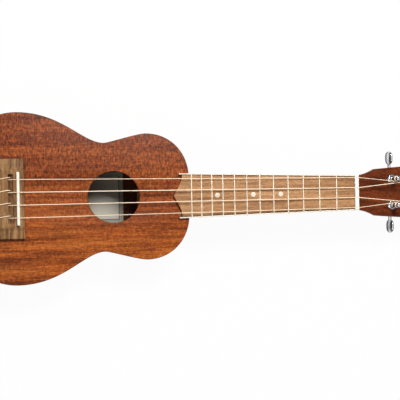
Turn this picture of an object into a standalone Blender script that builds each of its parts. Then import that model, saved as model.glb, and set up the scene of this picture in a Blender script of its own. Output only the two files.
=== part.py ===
"""Soprano ukulele with geared tuners, lying on its back.

Metres. +X runs from the tail to the head, +Y is the low-G side, and z = 0 is
the outer face of the back. A station is the distance from the nut's edge at
the fingerboard towards the tail.
"""
import math

import bmesh
import bpy
from mathutils import Matrix, Vector
from mathutils.geometry import interpolate_bezier

# Clearances
SEAT = 0.0003
INLAY = 0.0001
RUNNING = 0.00012

# Scale and strings
SCALE_LENGTH = 0.346
COMPENSATION = 0.0034
FRET_COUNT = 12
DOT_SPACES = (5, 7, 10)
STRING_DIAMETERS = {"g": 0.00066, "c": 0.00091, "e": 0.00081, "a": 0.00066}
STRING_SPACING_NUT = 0.0105
STRING_SPACING_SADDLE = 0.01295
ACTION_NUT = 0.0005
ACTION_TWELFTH = 0.0026

# Body outline: widths, distances from the neck end, and reach of each curve
BODY_LENGTH = 0.2410
BODY_DEPTH = 0.060
BODY_PAST_TWELFTH = 0.0020
SHOULDER_FLAT = 0.0364
SHOULDER_REACH = 0.0274
UPPER_BOUT_WIDTH = 0.1304
UPPER_BOUT_AT = 0.0444
UPPER_BOUT_REACH_IN = 0.0254
UPPER_BOUT_REACH_OUT = 0.0094
WAIST_WIDTH = 0.112
WAIST_AT = 0.0875
WAIST_REACH_IN = 0.0052
WAIST_REACH_OUT = 0.0215
LOWER_BOUT_WIDTH = 0.1766
LOWER_BOUT_AT = 0.1761
LOWER_BOUT_REACH_IN = 0.0459
LOWER_BOUT_REACH_OUT = 0.0357
TAIL_REACH = 0.060
CURVE_STEPS = 13
EDGE_ROUND = 0.0006

# Body pieces
TOP_THICKNESS = 0.002
BACK_THICKNESS = 0.002
SIDE_THICKNESS = 0.002
SOUND_HOLE_DIAMETER = 0.053
SOUND_HOLE_AT = 0.0781
SOUND_HOLE_SIDES = 48
LINING_WIDTH = 0.005
LINING_HEIGHT = 0.010
BLOCK_WIDTH = 0.040
BLOCK_LENGTH = 0.014
BRACE_WIDTH = 0.006
BRACE_END_HEIGHT = 0.35
BRACE_FULL_REACH = 0.7
BRACE_SHOULDER = 0.6
TOP_BRACE_HEIGHT = 0.009
TOP_BRACE_PLACES = {"upper": 0.040, "lower": 0.116}
BACK_BRACE_HEIGHT = 0.008
BACK_BRACE_PLACES = {"upper": 0.048, "lower": 0.150}

# Neck and head
BOARD_WIDTH_NUT = 0.0372
BOARD_WIDTH_BODY = 0.0460
NECK_DEPTH_NUT = 0.0145
NECK_DEPTH_BODY = 0.0165
NECK_EDGE = 0.003
HEEL_LENGTH = 0.038
HEEL_ABOVE_BACK = 0.003
HEAD_TILT = math.radians(13)
HEAD_LENGTH = 0.105
HEAD_THICKNESS = 0.012
HEAD_FLARE_LENGTH = 0.0205
HEAD_FLARE_POWER = 1.75
HEAD_FULL_EDGE_AT = 0.036
HEAD_FLARE_WIDTH = 0.0496
HEAD_TIP_WIDTH = 0.0606
HEAD_CORNER_ROUND = 0.006
HEAD_TIP_CROWN = 0.004

# Fingerboard, frets, nut
BOARD_THICKNESS = 0.004
BOARD_PAST_TWELFTH = 0.0097
BOARD_OGEE_LENGTH = 0.0086
OGEE_CORNER_REACH = 0.62
OGEE_TIP_REACH = 0.30
OGEE_TIP_RISE = 0.33
BINDING_WIDTH = 0.0012
BINDING_PAST_TWELFTH = 0.0128
FRET_WIDTH = 0.0018
FRET_HEIGHT = 0.0009
FRET_END_INSET = 0.0004
TANG_WIDTH = 0.0005
TANG_DEPTH = 0.0016
DOT_DIAMETER = 0.005
DOT_DEPTH = 0.001
NUT_THICKNESS = 0.0045
NUT_ABOVE_STRING = 0.0004

# Bridge and saddle
BRIDGE_LENGTH = 0.0815
BRIDGE_FRONT = 0.0059
RIDGE_BEHIND = 0.0049
CHANNEL_WIDTH = 0.0055
CHANNEL_LENGTH = 0.050
CHANNEL_FLOOR = 0.0024
TIE_BLOCK_WIDTH = 0.0107
BRIDGE_HEIGHT = 0.0072
WING_HEIGHT = 0.0052
STRING_HOLE_HEIGHT = 0.0046
STRING_HOLE_DIAMETER = 0.0018
SADDLE_THICKNESS = 0.003
SADDLE_LENGTH = 0.0545
SADDLE_DEPTH = 0.0035
SADDLE_CROWN = 0.0009
BRIDGE_EASE = 0.0012
LOOP_ASIDE = 0.0021
LOOP_EASE = 0.0006
LOOP_TAIL = 0.0022

# Tuners, in the head's own frame: along it, across it, out of its face
POST_PLACES = {"g": (0.0415, 0.0140), "c": (0.0795, 0.0160),
               "e": (0.0795, -0.0160), "a": (0.0415, -0.0140)}
POST_RADIUS = 0.003
POST_WAIST_RADIUS = 0.0021
POST_HEIGHT = 0.0165
POST_TAPER = 0.0008
POST_CAP_HEIGHT = 0.0020
POST_CAP_EASE = 0.0004
POST_HOLE_HEIGHT = 0.0122
POST_HOLE_DIAMETER = 0.002
BUSHING_DIAMETER = 0.0082
BUSHING_FLANGE = 0.0104
BUSHING_FLANGE_HEIGHT = 0.0012
BUSHING_CHAMFER = 0.0009
BUSHING_DEPTH = 0.009
GEAR_TEETH = 14
GEAR_MODULE = 0.00065
GEAR_FACE = 0.0034
GEAR_BACKLASH = 0.00022
WORM_RADIUS = 0.0025
WORM_TURNS = 3
TUNER_PLATE_THICKNESS = 0.001
TUNER_PLATE_LENGTH = 0.026
TUNER_PLATE_CORNER = 0.003
LUG_THICKNESS = 0.001
LUG_WIDTH = 0.0062
SHAFT_PAST_HEAD = 0.003
BUTTON_LENGTH = 0.0145
BUTTON_THICKNESS = 0.0048
BUTTON_WIDTH = 0.0132
WINDING_GAP = 0.00045
ROUND_SIDES = 16

# Places that follow from the sizes above
TWELFTH_FRET = SCALE_LENGTH / 2
BODY_START = TWELFTH_FRET + BODY_PAST_TWELFTH
TAIL = BODY_START + BODY_LENGTH
HEEL_DEPTH = BODY_DEPTH - HEEL_ABOVE_BACK
NUT_X = (TAIL - NUT_THICKNESS - HEAD_LENGTH * math.cos(HEAD_TILT)) / 2
BOARD_BOTTOM = BODY_DEPTH + SEAT
BOARD_TOP = BOARD_BOTTOM + BOARD_THICKNESS
FRET_TOP = BOARD_TOP + INLAY + FRET_HEIGHT
SADDLE_AT = SCALE_LENGTH + COMPENSATION
BRIDGE_BOTTOM = BODY_DEPTH + SEAT
BRIDGE_TOP = BRIDGE_BOTTOM + BRIDGE_HEIGHT
HEAD_FRAME = (Matrix.Translation((NUT_X + NUT_THICKNESS, 0, BODY_DEPTH))
              @ Matrix.Rotation(HEAD_TILT, 4, "Y"))
GEAR_RADIUS = GEAR_MODULE * GEAR_TEETH / 2
GEAR_ADDENDUM = 0.9 * GEAR_MODULE
GEAR_DEDENDUM = 1.15 * GEAR_MODULE
GEAR_PITCH = math.pi * GEAR_MODULE
PRESSURE_SLOPE = math.tan(math.radians(20))
SHAFT_RADIUS = WORM_RADIUS - GEAR_DEDENDUM
KEY_OFFSET = GEAR_RADIUS + WORM_RADIUS
PLATE_FRONT = -HEAD_THICKNESS - SEAT
PLATE_BACK = PLATE_FRONT - TUNER_PLATE_THICKNESS
KEY_LEVEL = PLATE_BACK - SEAT - WORM_RADIUS - GEAR_ADDENDUM

MAHOGANY = ("mahogany", (0.35, 0.12, 0.05), 0.45, 0.0)
DARK_MAHOGANY = ("dark_mahogany", (0.18, 0.045, 0.015), 0.4, 0.0)
WALNUT = ("walnut", (0.42, 0.25, 0.13), 0.55, 0.0)
SPRUCE = ("spruce", (0.65, 0.47, 0.28), 0.7, 0.0)
CREAM = ("cream_plastic", (0.88, 0.82, 0.7), 0.35, 0.0)
NYLON = ("nylon", (0.9, 0.68, 0.5), 0.3, 0.0)
NICKEL = ("nickel", (0.75, 0.73, 0.68), 0.25, 1.0)
CHROME = ("chrome", (0.8, 0.8, 0.8), 0.08, 1.0)


def finish(name, colour, roughness, metallic):
    """A material of the given colour, made once for each piece that asks for it."""
    made = bpy.data.materials.new(name)
    made.use_nodes = True
    shader = made.node_tree.nodes["Principled BSDF"]
    shader.inputs["Base Color"].default_value = (*colour, 1)
    shader.inputs["Roughness"].default_value = roughness
    shader.inputs["Metallic"].default_value = metallic
    return made


def add_object(name, data, look, place=Matrix.Identity(4)):
    """Link a mesh or curve as a named object, with its own material."""
    piece = bpy.data.objects.new(name, data)
    if look:
        data.materials.append(finish(f"{name}_{look[0]}", *look[1:]))
    piece.matrix_local = place
    bpy.context.scene.collection.objects.link(piece)
    return piece


def add_mesh(name, shape, look, place=Matrix.Identity(4), smooth=False):
    """Turn a bmesh into an object, with every face pointing out."""
    bmesh.ops.recalc_face_normals(shape, faces=shape.faces)
    mesh = bpy.data.meshes.new(name)
    shape.to_mesh(mesh)
    shape.free()
    piece = add_object(name, mesh, look, place)
    if smooth:
        smooth_rounds(mesh)
    return piece


def smooth_rounds(mesh):
    mesh.shade_smooth()
    mesh.set_sharp_from_angle(angle=math.radians(40))


def combine(target, tool, operation):
    """Cut a tool out of a piece, or join it on, and drop the tool."""
    step = target.modifiers.new("step", "BOOLEAN")
    step.operation = operation
    step.object = tool
    step.solver = "EXACT"
    bpy.context.view_layer.update()
    graph = bpy.context.evaluated_depsgraph_get()
    result = bpy.data.meshes.new_from_object(target.evaluated_get(graph), depsgraph=graph)
    target.modifiers.clear()
    target.data = result
    bpy.data.objects.remove(tool)


def loft(rings, shape=None, closed=False, paired=False):
    """Skin closed rings of points; a paired cap joins each point to the one across the ring."""
    shape = shape or bmesh.new()
    rows = [[shape.verts.new(point) for point in ring] for ring in rings]
    count = len(rows[0])
    pairs = list(zip(rows, rows[1:]))
    if closed:
        pairs.append((rows[-1], rows[0]))
    for low, high in pairs:
        for i in range(count):
            j = (i + 1) % count
            shape.faces.new((low[i], low[j], high[j], high[i]))
    if not closed:
        for row in (rows[0], rows[-1]):
            if paired:
                for i in range(count // 2 - 1):
                    shape.faces.new((row[i], row[i + 1], row[count - 2 - i], row[count - 1 - i]))
            else:
                shape.faces.new(row)
    return shape


def box(low, high, shape=None):
    x0, y0, z0 = low
    x1, y1, z1 = high
    corners = ((x0, y0), (x1, y0), (x1, y1), (x0, y1))
    return loft([[(x, y, z) for x, y in corners] for z in (z0, z1)], shape)


def circle(radius, along, sides=ROUND_SIDES):
    """A ring round the local Z axis."""
    turn = 2 * math.pi / sides
    return [Vector((radius * math.cos(i * turn), radius * math.sin(i * turn), along))
            for i in range(sides)]


def clear_radius(radius, gap, sides=ROUND_SIDES):
    """Corner radius of a faceted bore whose flats clear a shaft by the gap."""
    return (radius + gap) / math.cos(math.pi / sides)


def turned(profile, closed=False, sides=ROUND_SIDES):
    return loft([circle(radius, along, sides) for radius, along in profile], closed=closed)


def moved(rings, matrix):
    return [[matrix @ Vector(point) for point in ring] for ring in rings]


def station_x(station):
    return NUT_X - station


def fret_station(number):
    return SCALE_LENGTH * (1 - 2 ** (-number / 12))


# Body

def bass_outline():
    """Bass half of the body's edge, from the neck joint round to the tail, in X and Y."""
    start = station_x(BODY_START)
    knots = ((0, SHOULDER_FLAT / 2), (UPPER_BOUT_AT, UPPER_BOUT_WIDTH / 2),
             (WAIST_AT, WAIST_WIDTH / 2), (LOWER_BOUT_AT, LOWER_BOUT_WIDTH / 2), (BODY_LENGTH, 0))
    reaches = (((0, SHOULDER_REACH), (-UPPER_BOUT_REACH_IN, 0)),
               ((UPPER_BOUT_REACH_OUT, 0), (-WAIST_REACH_IN, 0)),
               ((WAIST_REACH_OUT, 0), (-LOWER_BOUT_REACH_IN, 0)),
               ((LOWER_BOUT_REACH_OUT, 0), (0, TAIL_REACH)))
    points = [Vector((start, 0))]
    for first, last, (leave, arrive) in zip(knots, knots[1:], reaches):
        control = (first, (first[0] + leave[0], first[1] + leave[1]),
                   (last[0] + arrive[0], last[1] + arrive[1]), last)
        world = [Vector((start - along, half)) for along, half in control]
        points += interpolate_bezier(*world, CURVE_STEPS)[:-1]
    points.append(Vector((start - BODY_LENGTH, 0)))
    return points


def inset(points, distance):
    """Move the bass outline inwards; its two ends stay on the centre line."""
    result = []
    last = len(points) - 1
    for i, point in enumerate(points):
        if i in (0, last):
            inward = Vector((-1 if i == 0 else 1, 0))
        else:
            run = points[i + 1] - points[i - 1]
            inward = Vector((-run.y, run.x)).normalized()
        result.append(point + inward * distance)
    return result


def mirrored(points):
    return [Vector((point.x, -point.y)) for point in points]


def full_outline(distance):
    bass = inset(bass_outline(), distance)
    return bass + mirrored(bass[-2:0:-1])


def at_level(points, z):
    return [Vector((point.x, point.y, z)) for point in points]


def half_width(points, x):
    """Half width of a bass outline at x."""
    for near, far in zip(points[1:], points[2:]):
        if far.x <= x <= near.x:
            share = (near.x - x) / (near.x - far.x)
            return near.y + share * (far.y - near.y)
    return 0.0


def make_plates():
    outer = full_outline(0)
    eased = full_outline(EDGE_ROUND)
    top = BODY_DEPTH
    soundboard = add_mesh("soundboard", loft([
        at_level(outer, top - TOP_THICKNESS), at_level(outer, top - EDGE_ROUND),
        at_level(eased, top)]), MAHOGANY)
    hole_x = station_x(BODY_START + SOUND_HOLE_AT)
    rings = [circle(SOUND_HOLE_DIAMETER / 2, z, SOUND_HOLE_SIDES)
             for z in (top - 2 * TOP_THICKNESS, top + TOP_THICKNESS)]
    hole = add_mesh("sound_hole_cutter", loft(moved(rings, Matrix.Translation((hole_x, 0, 0)))), None)
    combine(soundboard, hole, "DIFFERENCE")
    add_mesh("back", loft([
        at_level(eased, 0), at_level(outer, EDGE_ROUND), at_level(outer, BACK_THICKNESS)]), MAHOGANY)


def strip(outer, inner, low, high):
    """A wall that follows the outline between two levels."""
    return loft([[(a.x, a.y, low), (a.x, a.y, high), (b.x, b.y, high), (b.x, b.y, low)]
                 for a, b in zip(outer, inner)])


def make_sides_and_linings():
    low = BACK_THICKNESS + SEAT
    high = BODY_DEPTH - TOP_THICKNESS - SEAT
    bass = bass_outline()
    ends = (0, len(bass) - 1)
    for side, sign in (("bass", 1), ("treble", -1)):
        walls = []
        for distance in (0, SIDE_THICKNESS):
            wall = inset(bass, distance)
            for end in ends:
                wall[end].y = SEAT / 2
            walls.append([Vector((point.x, sign * point.y)) for point in wall])
        add_mesh(f"side_{side}", strip(*walls, low, high), MAHOGANY)
        outside = inset(bass, SIDE_THICKNESS + SEAT)
        inside = inset(bass, SIDE_THICKNESS + SEAT + LINING_WIDTH)
        kept = [i for i, point in enumerate(inside) if point.y > BLOCK_WIDTH / 2 + SEAT]
        faces = [[Vector((wall[i].x, sign * wall[i].y)) for i in kept] for wall in (outside, inside)]
        add_mesh(f"top_lining_{side}", strip(*faces, high - LINING_HEIGHT, high), SPRUCE)
        add_mesh(f"back_lining_{side}", strip(*faces, low, low + LINING_HEIGHT), SPRUCE)


def make_blocks():
    """End blocks whose outer face follows the sides."""
    low = BACK_THICKNESS + SEAT
    high = BODY_DEPTH - TOP_THICKNESS - SEAT
    half = BLOCK_WIDTH / 2
    bass = inset(bass_outline(), SIDE_THICKNESS + SEAT)
    for name, run, inward in (("neck_block", bass, -1), ("tail_block", bass[::-1], 1)):
        face = [run[0]]
        for near, far in zip(run, run[1:]):
            if far.y >= half:
                share = (half - near.y) / (far.y - near.y)
                face.append(near.lerp(far, share))
                break
            face.append(far)
        corner = Vector((face[0].x + inward * BLOCK_LENGTH, half))
        bass_half = face + [corner]
        outline = bass_half + mirrored(bass_half[:0:-1])
        add_mesh(name, loft([at_level(outline, low), at_level(outline, high)]), SPRUCE)


def make_braces():
    inside = inset(bass_outline(), SIDE_THICKNESS + 2 * SEAT + LINING_WIDTH)
    under_top = BODY_DEPTH - TOP_THICKNESS - SEAT
    over_back = BACK_THICKNESS + SEAT
    for part, places, root, height in (("soundboard", TOP_BRACE_PLACES, under_top, -TOP_BRACE_HEIGHT),
                                       ("back", BACK_BRACE_PLACES, over_back, BACK_BRACE_HEIGHT)):
        for place, distance in places.items():
            middle = station_x(BODY_START + distance)
            reach = min(half_width(inside, middle + side * BRACE_WIDTH / 2) for side in (-1, 1))
            rings = []
            for across, share in ((-1, BRACE_END_HEIGHT), (-BRACE_FULL_REACH, 1),
                                  (BRACE_FULL_REACH, 1), (1, BRACE_END_HEIGHT)):
                tall = height * share
                shoulder = root + BRACE_SHOULDER * tall
                rings.append([(middle - BRACE_WIDTH / 2, across * reach, root),
                              (middle + BRACE_WIDTH / 2, across * reach, root),
                              (middle + BRACE_WIDTH / 2, across * reach, shoulder),
                              (middle, across * reach, root + tall),
                              (middle - BRACE_WIDTH / 2, across * reach, shoulder)])
            add_mesh(f"{part}_brace_{place}", loft(rings), SPRUCE)


# Neck and head

def board_half_width(station):
    """Half width of the neck and of the fingerboard with its bindings."""
    share = station / BODY_START
    return (BOARD_WIDTH_NUT + share * (BOARD_WIDTH_BODY - BOARD_WIDTH_NUT)) / 2


def head_half_width(along):
    """Half width of the head: a concave flare, then straight sides with rounded corners."""
    flare = HEAD_FLARE_WIDTH / 2
    if along <= HEAD_FLARE_LENGTH:
        share = along / HEAD_FLARE_LENGTH
        root = BOARD_WIDTH_NUT / 2
        return root + (flare - root) * share ** HEAD_FLARE_POWER
    corner = HEAD_LENGTH - HEAD_TIP_CROWN - HEAD_CORNER_ROUND
    straight = min(along, corner)
    share = (straight - HEAD_FLARE_LENGTH) / (corner - HEAD_FLARE_LENGTH)
    half = flare + share * (HEAD_TIP_WIDTH / 2 - flare)
    past = max(0, along - corner)
    return half - HEAD_CORNER_ROUND + math.sqrt(max(0, HEAD_CORNER_ROUND ** 2 - past ** 2))


def neck_ring(frame, half, depth, edge, crown=0.0):
    """One section of the neck: flat top, round back, with an edge of the given depth."""
    columns = 11
    spread = [-math.cos(math.pi * i / (columns - 1)) for i in range(columns)]
    top = [frame @ Vector((crown * (1 - p * p), half * p, 0)) for p in spread]
    under = []
    for p in spread:
        belly = edge + (depth - edge) * math.sqrt(max(0, 1 - p * p))
        under.append(frame @ Vector((crown * (1 - p * p), half * p, -belly)))
    return top + under[::-1]


def make_neck():
    end = BODY_START - SEAT
    heel_start = end - HEEL_LENGTH
    heel_steps = 9
    stations = [end - HEEL_LENGTH * i / heel_steps for i in range(heel_steps)]
    stations += [heel_start * share for share in (1, 0.6, 0.25, 0)]
    rings = []
    for station in stations:
        share = station / end
        depth = NECK_DEPTH_NUT + share * (NECK_DEPTH_BODY - NECK_DEPTH_NUT)
        rise = max(0, (station - heel_start) / HEEL_LENGTH) ** 2.4
        depth += rise * (HEEL_DEPTH - depth)
        frame = Matrix.Translation((station_x(station), 0, BODY_DEPTH))
        rings.append(neck_ring(frame, board_half_width(station), depth, NECK_EDGE))
    flare_steps = 7
    corner_steps = 4
    corner = HEAD_LENGTH - HEAD_TIP_CROWN - HEAD_CORNER_ROUND
    places = [HEAD_FLARE_LENGTH * i / flare_steps for i in range(flare_steps + 1)]
    places += [(HEAD_FLARE_LENGTH + HEAD_FULL_EDGE_AT) / 2, HEAD_FULL_EDGE_AT]
    places += [corner + HEAD_CORNER_ROUND * math.sin(math.pi / 2 * i / corner_steps)
               for i in range(corner_steps + 1)]
    for along in places:
        blend = min(1, along / HEAD_FULL_EDGE_AT)
        depth = NECK_DEPTH_NUT + blend * (HEAD_THICKNESS - NECK_DEPTH_NUT)
        squared = max(0, (along - HEAD_FLARE_LENGTH) / (HEAD_FULL_EDGE_AT - HEAD_FLARE_LENGTH))
        edge = NECK_EDGE + min(1, squared) * (HEAD_THICKNESS - NECK_EDGE)
        crown = HEAD_TIP_CROWN * max(0, (along - corner) / HEAD_CORNER_ROUND)
        frame = HEAD_FRAME @ Matrix.Translation((along, 0, 0))
        rings.append(neck_ring(frame, head_half_width(along), depth, edge, crown))
    neck = add_mesh("neck", loft(rings, paired=True), DARK_MAHOGANY)
    holes = bmesh.new()
    for along, across in POST_PLACES.values():
        radius = clear_radius(BUSHING_DIAMETER / 2, SEAT)
        frame = HEAD_FRAME @ Matrix.Translation((along, across, 0))
        loft(moved([circle(radius, -2 * HEAD_THICKNESS), circle(radius, HEAD_THICKNESS)], frame), holes)
    combine(neck, add_mesh("tuner_hole_cutter", holes, None), "DIFFERENCE")
    smooth_rounds(neck.data)


# Fingerboard, bindings, frets, dots and nut

def wood_half_width(station):
    return board_half_width(station) - BINDING_WIDTH - INLAY


def make_fingerboard():
    corner = TWELFTH_FRET + BOARD_PAST_TWELFTH
    tip = corner + BOARD_OGEE_LENGTH
    half = wood_half_width(corner)
    control = ((corner, half), (corner, half * OGEE_CORNER_REACH),
               (tip - OGEE_TIP_RISE * BOARD_OGEE_LENGTH, half * OGEE_TIP_REACH), (tip, 0))
    curve = interpolate_bezier(*[Vector((station_x(s), y)) for s, y in control], 9)
    start = Vector((station_x(INLAY), wood_half_width(0)))
    bass = [start] + curve
    outline = bass + mirrored(bass[-2::-1])
    board = add_mesh("fingerboard", loft([
        at_level(outline, BOARD_BOTTOM), at_level(outline, BOARD_TOP)]), WALNUT)
    slots = bmesh.new()
    for number in range(1, FRET_COUNT + 1):
        x = station_x(fret_station(number))
        half_slot = TANG_WIDTH / 2 + INLAY
        box((x - half_slot, -BOARD_WIDTH_BODY, BOARD_TOP - TANG_DEPTH - INLAY),
            (x + half_slot, BOARD_WIDTH_BODY, BOARD_TOP + TANG_DEPTH), slots)
    combine(board, add_mesh("fret_slot_cutter", slots, None), "DIFFERENCE")
    recesses = bmesh.new()
    for space in DOT_SPACES:
        frame = Matrix.Translation((dot_x(space), 0, BOARD_TOP))
        radius = clear_radius(DOT_DIAMETER / 2, INLAY)
        loft(moved([circle(radius, -DOT_DEPTH - INLAY), circle(radius, DOT_DEPTH)], frame), recesses)
    combine(board, add_mesh("dot_recess_cutter", recesses, None), "DIFFERENCE")


def dot_x(space):
    return station_x((fret_station(space - 1) + fret_station(space)) / 2)


def make_dots():
    for space in DOT_SPACES:
        dot = turned([(DOT_DIAMETER / 2, -DOT_DEPTH), (DOT_DIAMETER / 2, 0)])
        place = Matrix.Translation((dot_x(space), 0, BOARD_TOP))
        add_mesh(f"position_dot_{space:02d}", dot, CREAM, place=place)


def make_bindings():
    end = TWELFTH_FRET + BINDING_PAST_TWELFTH
    for side, sign in (("bass", 1), ("treble", -1)):
        rings = []
        for station in (INLAY, end):
            outer = sign * board_half_width(station)
            inner = sign * (board_half_width(station) - BINDING_WIDTH)
            x = station_x(station)
            rings.append([(x, outer, BOARD_BOTTOM), (x, outer, BOARD_TOP),
                          (x, inner, BOARD_TOP), (x, inner, BOARD_BOTTOM)])
        add_mesh(f"binding_{side}", loft(rings), CREAM)


def make_frets():
    """Rounded crowns with bevelled ends, each with a tang let into its slot."""
    arc = 5
    for number in range(1, FRET_COUNT + 1):
        station = fret_station(number)
        x = station_x(station)
        base = BOARD_TOP + INLAY
        outer = board_half_width(station) - FRET_END_INSET
        inner = wood_half_width(station) - INLAY
        crown = []
        for i in range(arc):
            angle = math.pi * i / (arc - 1)
            crown.append((-FRET_WIDTH / 2 * math.cos(angle), FRET_HEIGHT * math.sin(angle)))
        crown += [(TANG_WIDTH / 2, 0), (-TANG_WIDTH / 2, 0)]
        rings = []
        for across, lean in ((-outer, 0.6), (-inner, 0), (inner, 0), (outer, -0.6)):
            rings.append([(x + dx, across + lean * dz, base + dz) for dx, dz in crown])
        shape = loft(rings)
        shape.faces.ensure_lookup_table()
        per_span = len(crown)
        tang_face = shape.faces[per_span + per_span - 2]
        sunk = bmesh.ops.extrude_discrete_faces(shape, faces=[tang_face])["faces"][0]
        for corner in sunk.verts:
            corner.co.z -= TANG_DEPTH
        add_mesh(f"fret_{number:02d}", shape, NICKEL, smooth=True)


def string_offset(index, station):
    """How far a string lies from the centre line; the first string is on the bass side."""
    spread = STRING_SPACING_SADDLE - STRING_SPACING_NUT
    spacing = STRING_SPACING_NUT + spread * station / SADDLE_AT
    return (1.5 - index) * spacing


def string_underside(station):
    return FRET_TOP + ACTION_NUT + (ACTION_TWELFTH - ACTION_NUT) * station / TWELFTH_FRET


def make_nut():
    """A nut whose top rounds down towards the head, with one slot for each string."""
    floor = string_underside(0) - INLAY
    half = BOARD_WIDTH_NUT / 2
    bottom = BODY_DEPTH + SEAT
    rings = []
    for along, drop in ((0, 0.0003), (0.2, 0), (0.6, 0), (1, 0.0006)):
        x = station_x(0) + along * NUT_THICKNESS
        crest = floor + max(STRING_DIAMETERS.values()) + NUT_ABOVE_STRING - drop
        ring = [(x, half, bottom), (x, half, crest)]
        for index, diameter in enumerate(STRING_DIAMETERS.values()):
            y = string_offset(index, 0)
            slot = diameter / 2 + INLAY
            ring += [(x, y + slot * 1.3, crest), (x, y + slot, floor),
                     (x, y - slot, floor), (x, y - slot * 1.3, crest)]
        ring += [(x, -half, crest), (x, -half, bottom)]
        rings.append(ring)
    add_mesh("nut", loft(rings), CREAM)


# Bridge and saddle

def make_bridge():
    front = station_x(SADDLE_AT - BRIDGE_FRONT)
    ridge = station_x(SADDLE_AT + RIDGE_BEHIND)
    channel = ridge - CHANNEL_WIDTH
    back = channel - TIE_BLOCK_WIDTH
    end = BRIDGE_LENGTH / 2
    ease = BRIDGE_EASE
    centre = max(CHANNEL_LENGTH, SADDLE_LENGTH) / 2 + ease
    rings = []
    for across, height, inset_x in ((-end, WING_HEIGHT - ease, ease), (ease - end, WING_HEIGHT, 0),
                                    (-centre - 3 * ease, WING_HEIGHT, 0), (-centre, BRIDGE_HEIGHT, 0),
                                    (centre, BRIDGE_HEIGHT, 0), (centre + 3 * ease, WING_HEIGHT, 0),
                                    (end - ease, WING_HEIGHT, 0), (end, WING_HEIGHT - ease, ease)):
        top = BRIDGE_BOTTOM + height
        near = front - inset_x
        far = back + inset_x
        rings.append([(near, across, BRIDGE_BOTTOM), (near, across, top - 1.5 * ease),
                      (near - ease, across, top), (far + ease, across, top),
                      (far, across, top - 1.5 * ease), (far, across, BRIDGE_BOTTOM)])
    bridge = add_mesh("bridge", loft(rings), WALNUT)
    half = CHANNEL_LENGTH / 2
    trough = box((channel, -half, BRIDGE_BOTTOM + CHANNEL_FLOOR), (ridge, half, BRIDGE_TOP + SEAT))
    combine(bridge, add_mesh("channel_cutter", trough, None), "DIFFERENCE")
    half_slot = SADDLE_THICKNESS / 2 + INLAY
    middle = station_x(SADDLE_AT)
    reach = SADDLE_LENGTH / 2 + INLAY
    slot = box((middle - half_slot, -reach, BRIDGE_TOP - SADDLE_DEPTH),
               (middle + half_slot, reach, BRIDGE_TOP + SEAT))
    combine(bridge, add_mesh("saddle_slot_cutter", slot, None), "DIFFERENCE")
    holes = bmesh.new()
    for index in range(len(STRING_DIAMETERS)):
        level = Vector((channel, string_offset(index, SADDLE_AT), BRIDGE_BOTTOM + STRING_HOLE_HEIGHT))
        frame = Matrix.Translation(level) @ Matrix.Rotation(math.pi / 2, 4, "Y")
        radius = STRING_HOLE_DIAMETER / 2
        ends = (CHANNEL_WIDTH / 2, -TIE_BLOCK_WIDTH - CHANNEL_WIDTH)
        loft(moved([circle(radius, along, 8) for along in ends], frame), holes)
    combine(bridge, add_mesh("string_hole_cutter", holes, None), "DIFFERENCE")


def make_saddle():
    bottom = BRIDGE_TOP - SADDLE_DEPTH + SEAT
    top = string_underside(SADDLE_AT) - INLAY
    x = station_x(SADDLE_AT)
    half = SADDLE_THICKNESS / 2
    flat = half - SADDLE_CROWN / 2
    end = SADDLE_LENGTH / 2
    rings = []
    for y, crest in ((-end, top - SADDLE_CROWN), (SADDLE_CROWN - end, top),
                     (end - SADDLE_CROWN, top), (end, top - SADDLE_CROWN)):
        edge = crest - SADDLE_CROWN
        rings.append([(x + half, y, bottom), (x + half, y, edge), (x + flat, y, crest),
                      (x - flat, y, crest), (x - half, y, edge), (x - half, y, bottom)])
    add_mesh("saddle", loft(rings), CREAM)


# Tuners

def tuner_frame(string):
    along, across = POST_PLACES[string]
    return HEAD_FRAME @ Matrix.Translation((along, across, 0))


def make_bushing(string, frame):
    outer = BUSHING_DIAMETER / 2
    flange = BUSHING_FLANGE / 2
    bore = clear_radius(POST_RADIUS, RUNNING)
    rise = SEAT + BUSHING_FLANGE_HEIGHT
    profile = [(bore, -BUSHING_DEPTH), (outer, -BUSHING_DEPTH), (outer, SEAT), (flange, SEAT),
               (flange, SEAT + 0.5 * BUSHING_FLANGE_HEIGHT), (flange - BUSHING_CHAMFER, rise), (bore, rise)]
    add_mesh(f"tuner_bushing_{string}", turned(profile, closed=True), CHROME, place=frame, smooth=True)


def worm_span():
    """Lowest and highest end of the worm's thread along the key's shaft."""
    root = thread_width(-GEAR_DEDENDUM)
    shift = (WORM_TURNS // 2 + 0.75) * GEAR_PITCH
    low = -root / 2 - shift
    return low, low + (WORM_TURNS + 1 - 1 / ROUND_SIDES) * GEAR_PITCH


def thread_width(above_pitch):
    """Width of a thread or a tooth at a height above its pitch line."""
    return GEAR_PITCH / 2 - GEAR_BACKLASH - 2 * above_pitch * PRESSURE_SLOPE


def lug_span():
    low, high = worm_span()
    inner = max(-low, high) + 4 * RUNNING
    return inner, inner + LUG_THICKNESS


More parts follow.
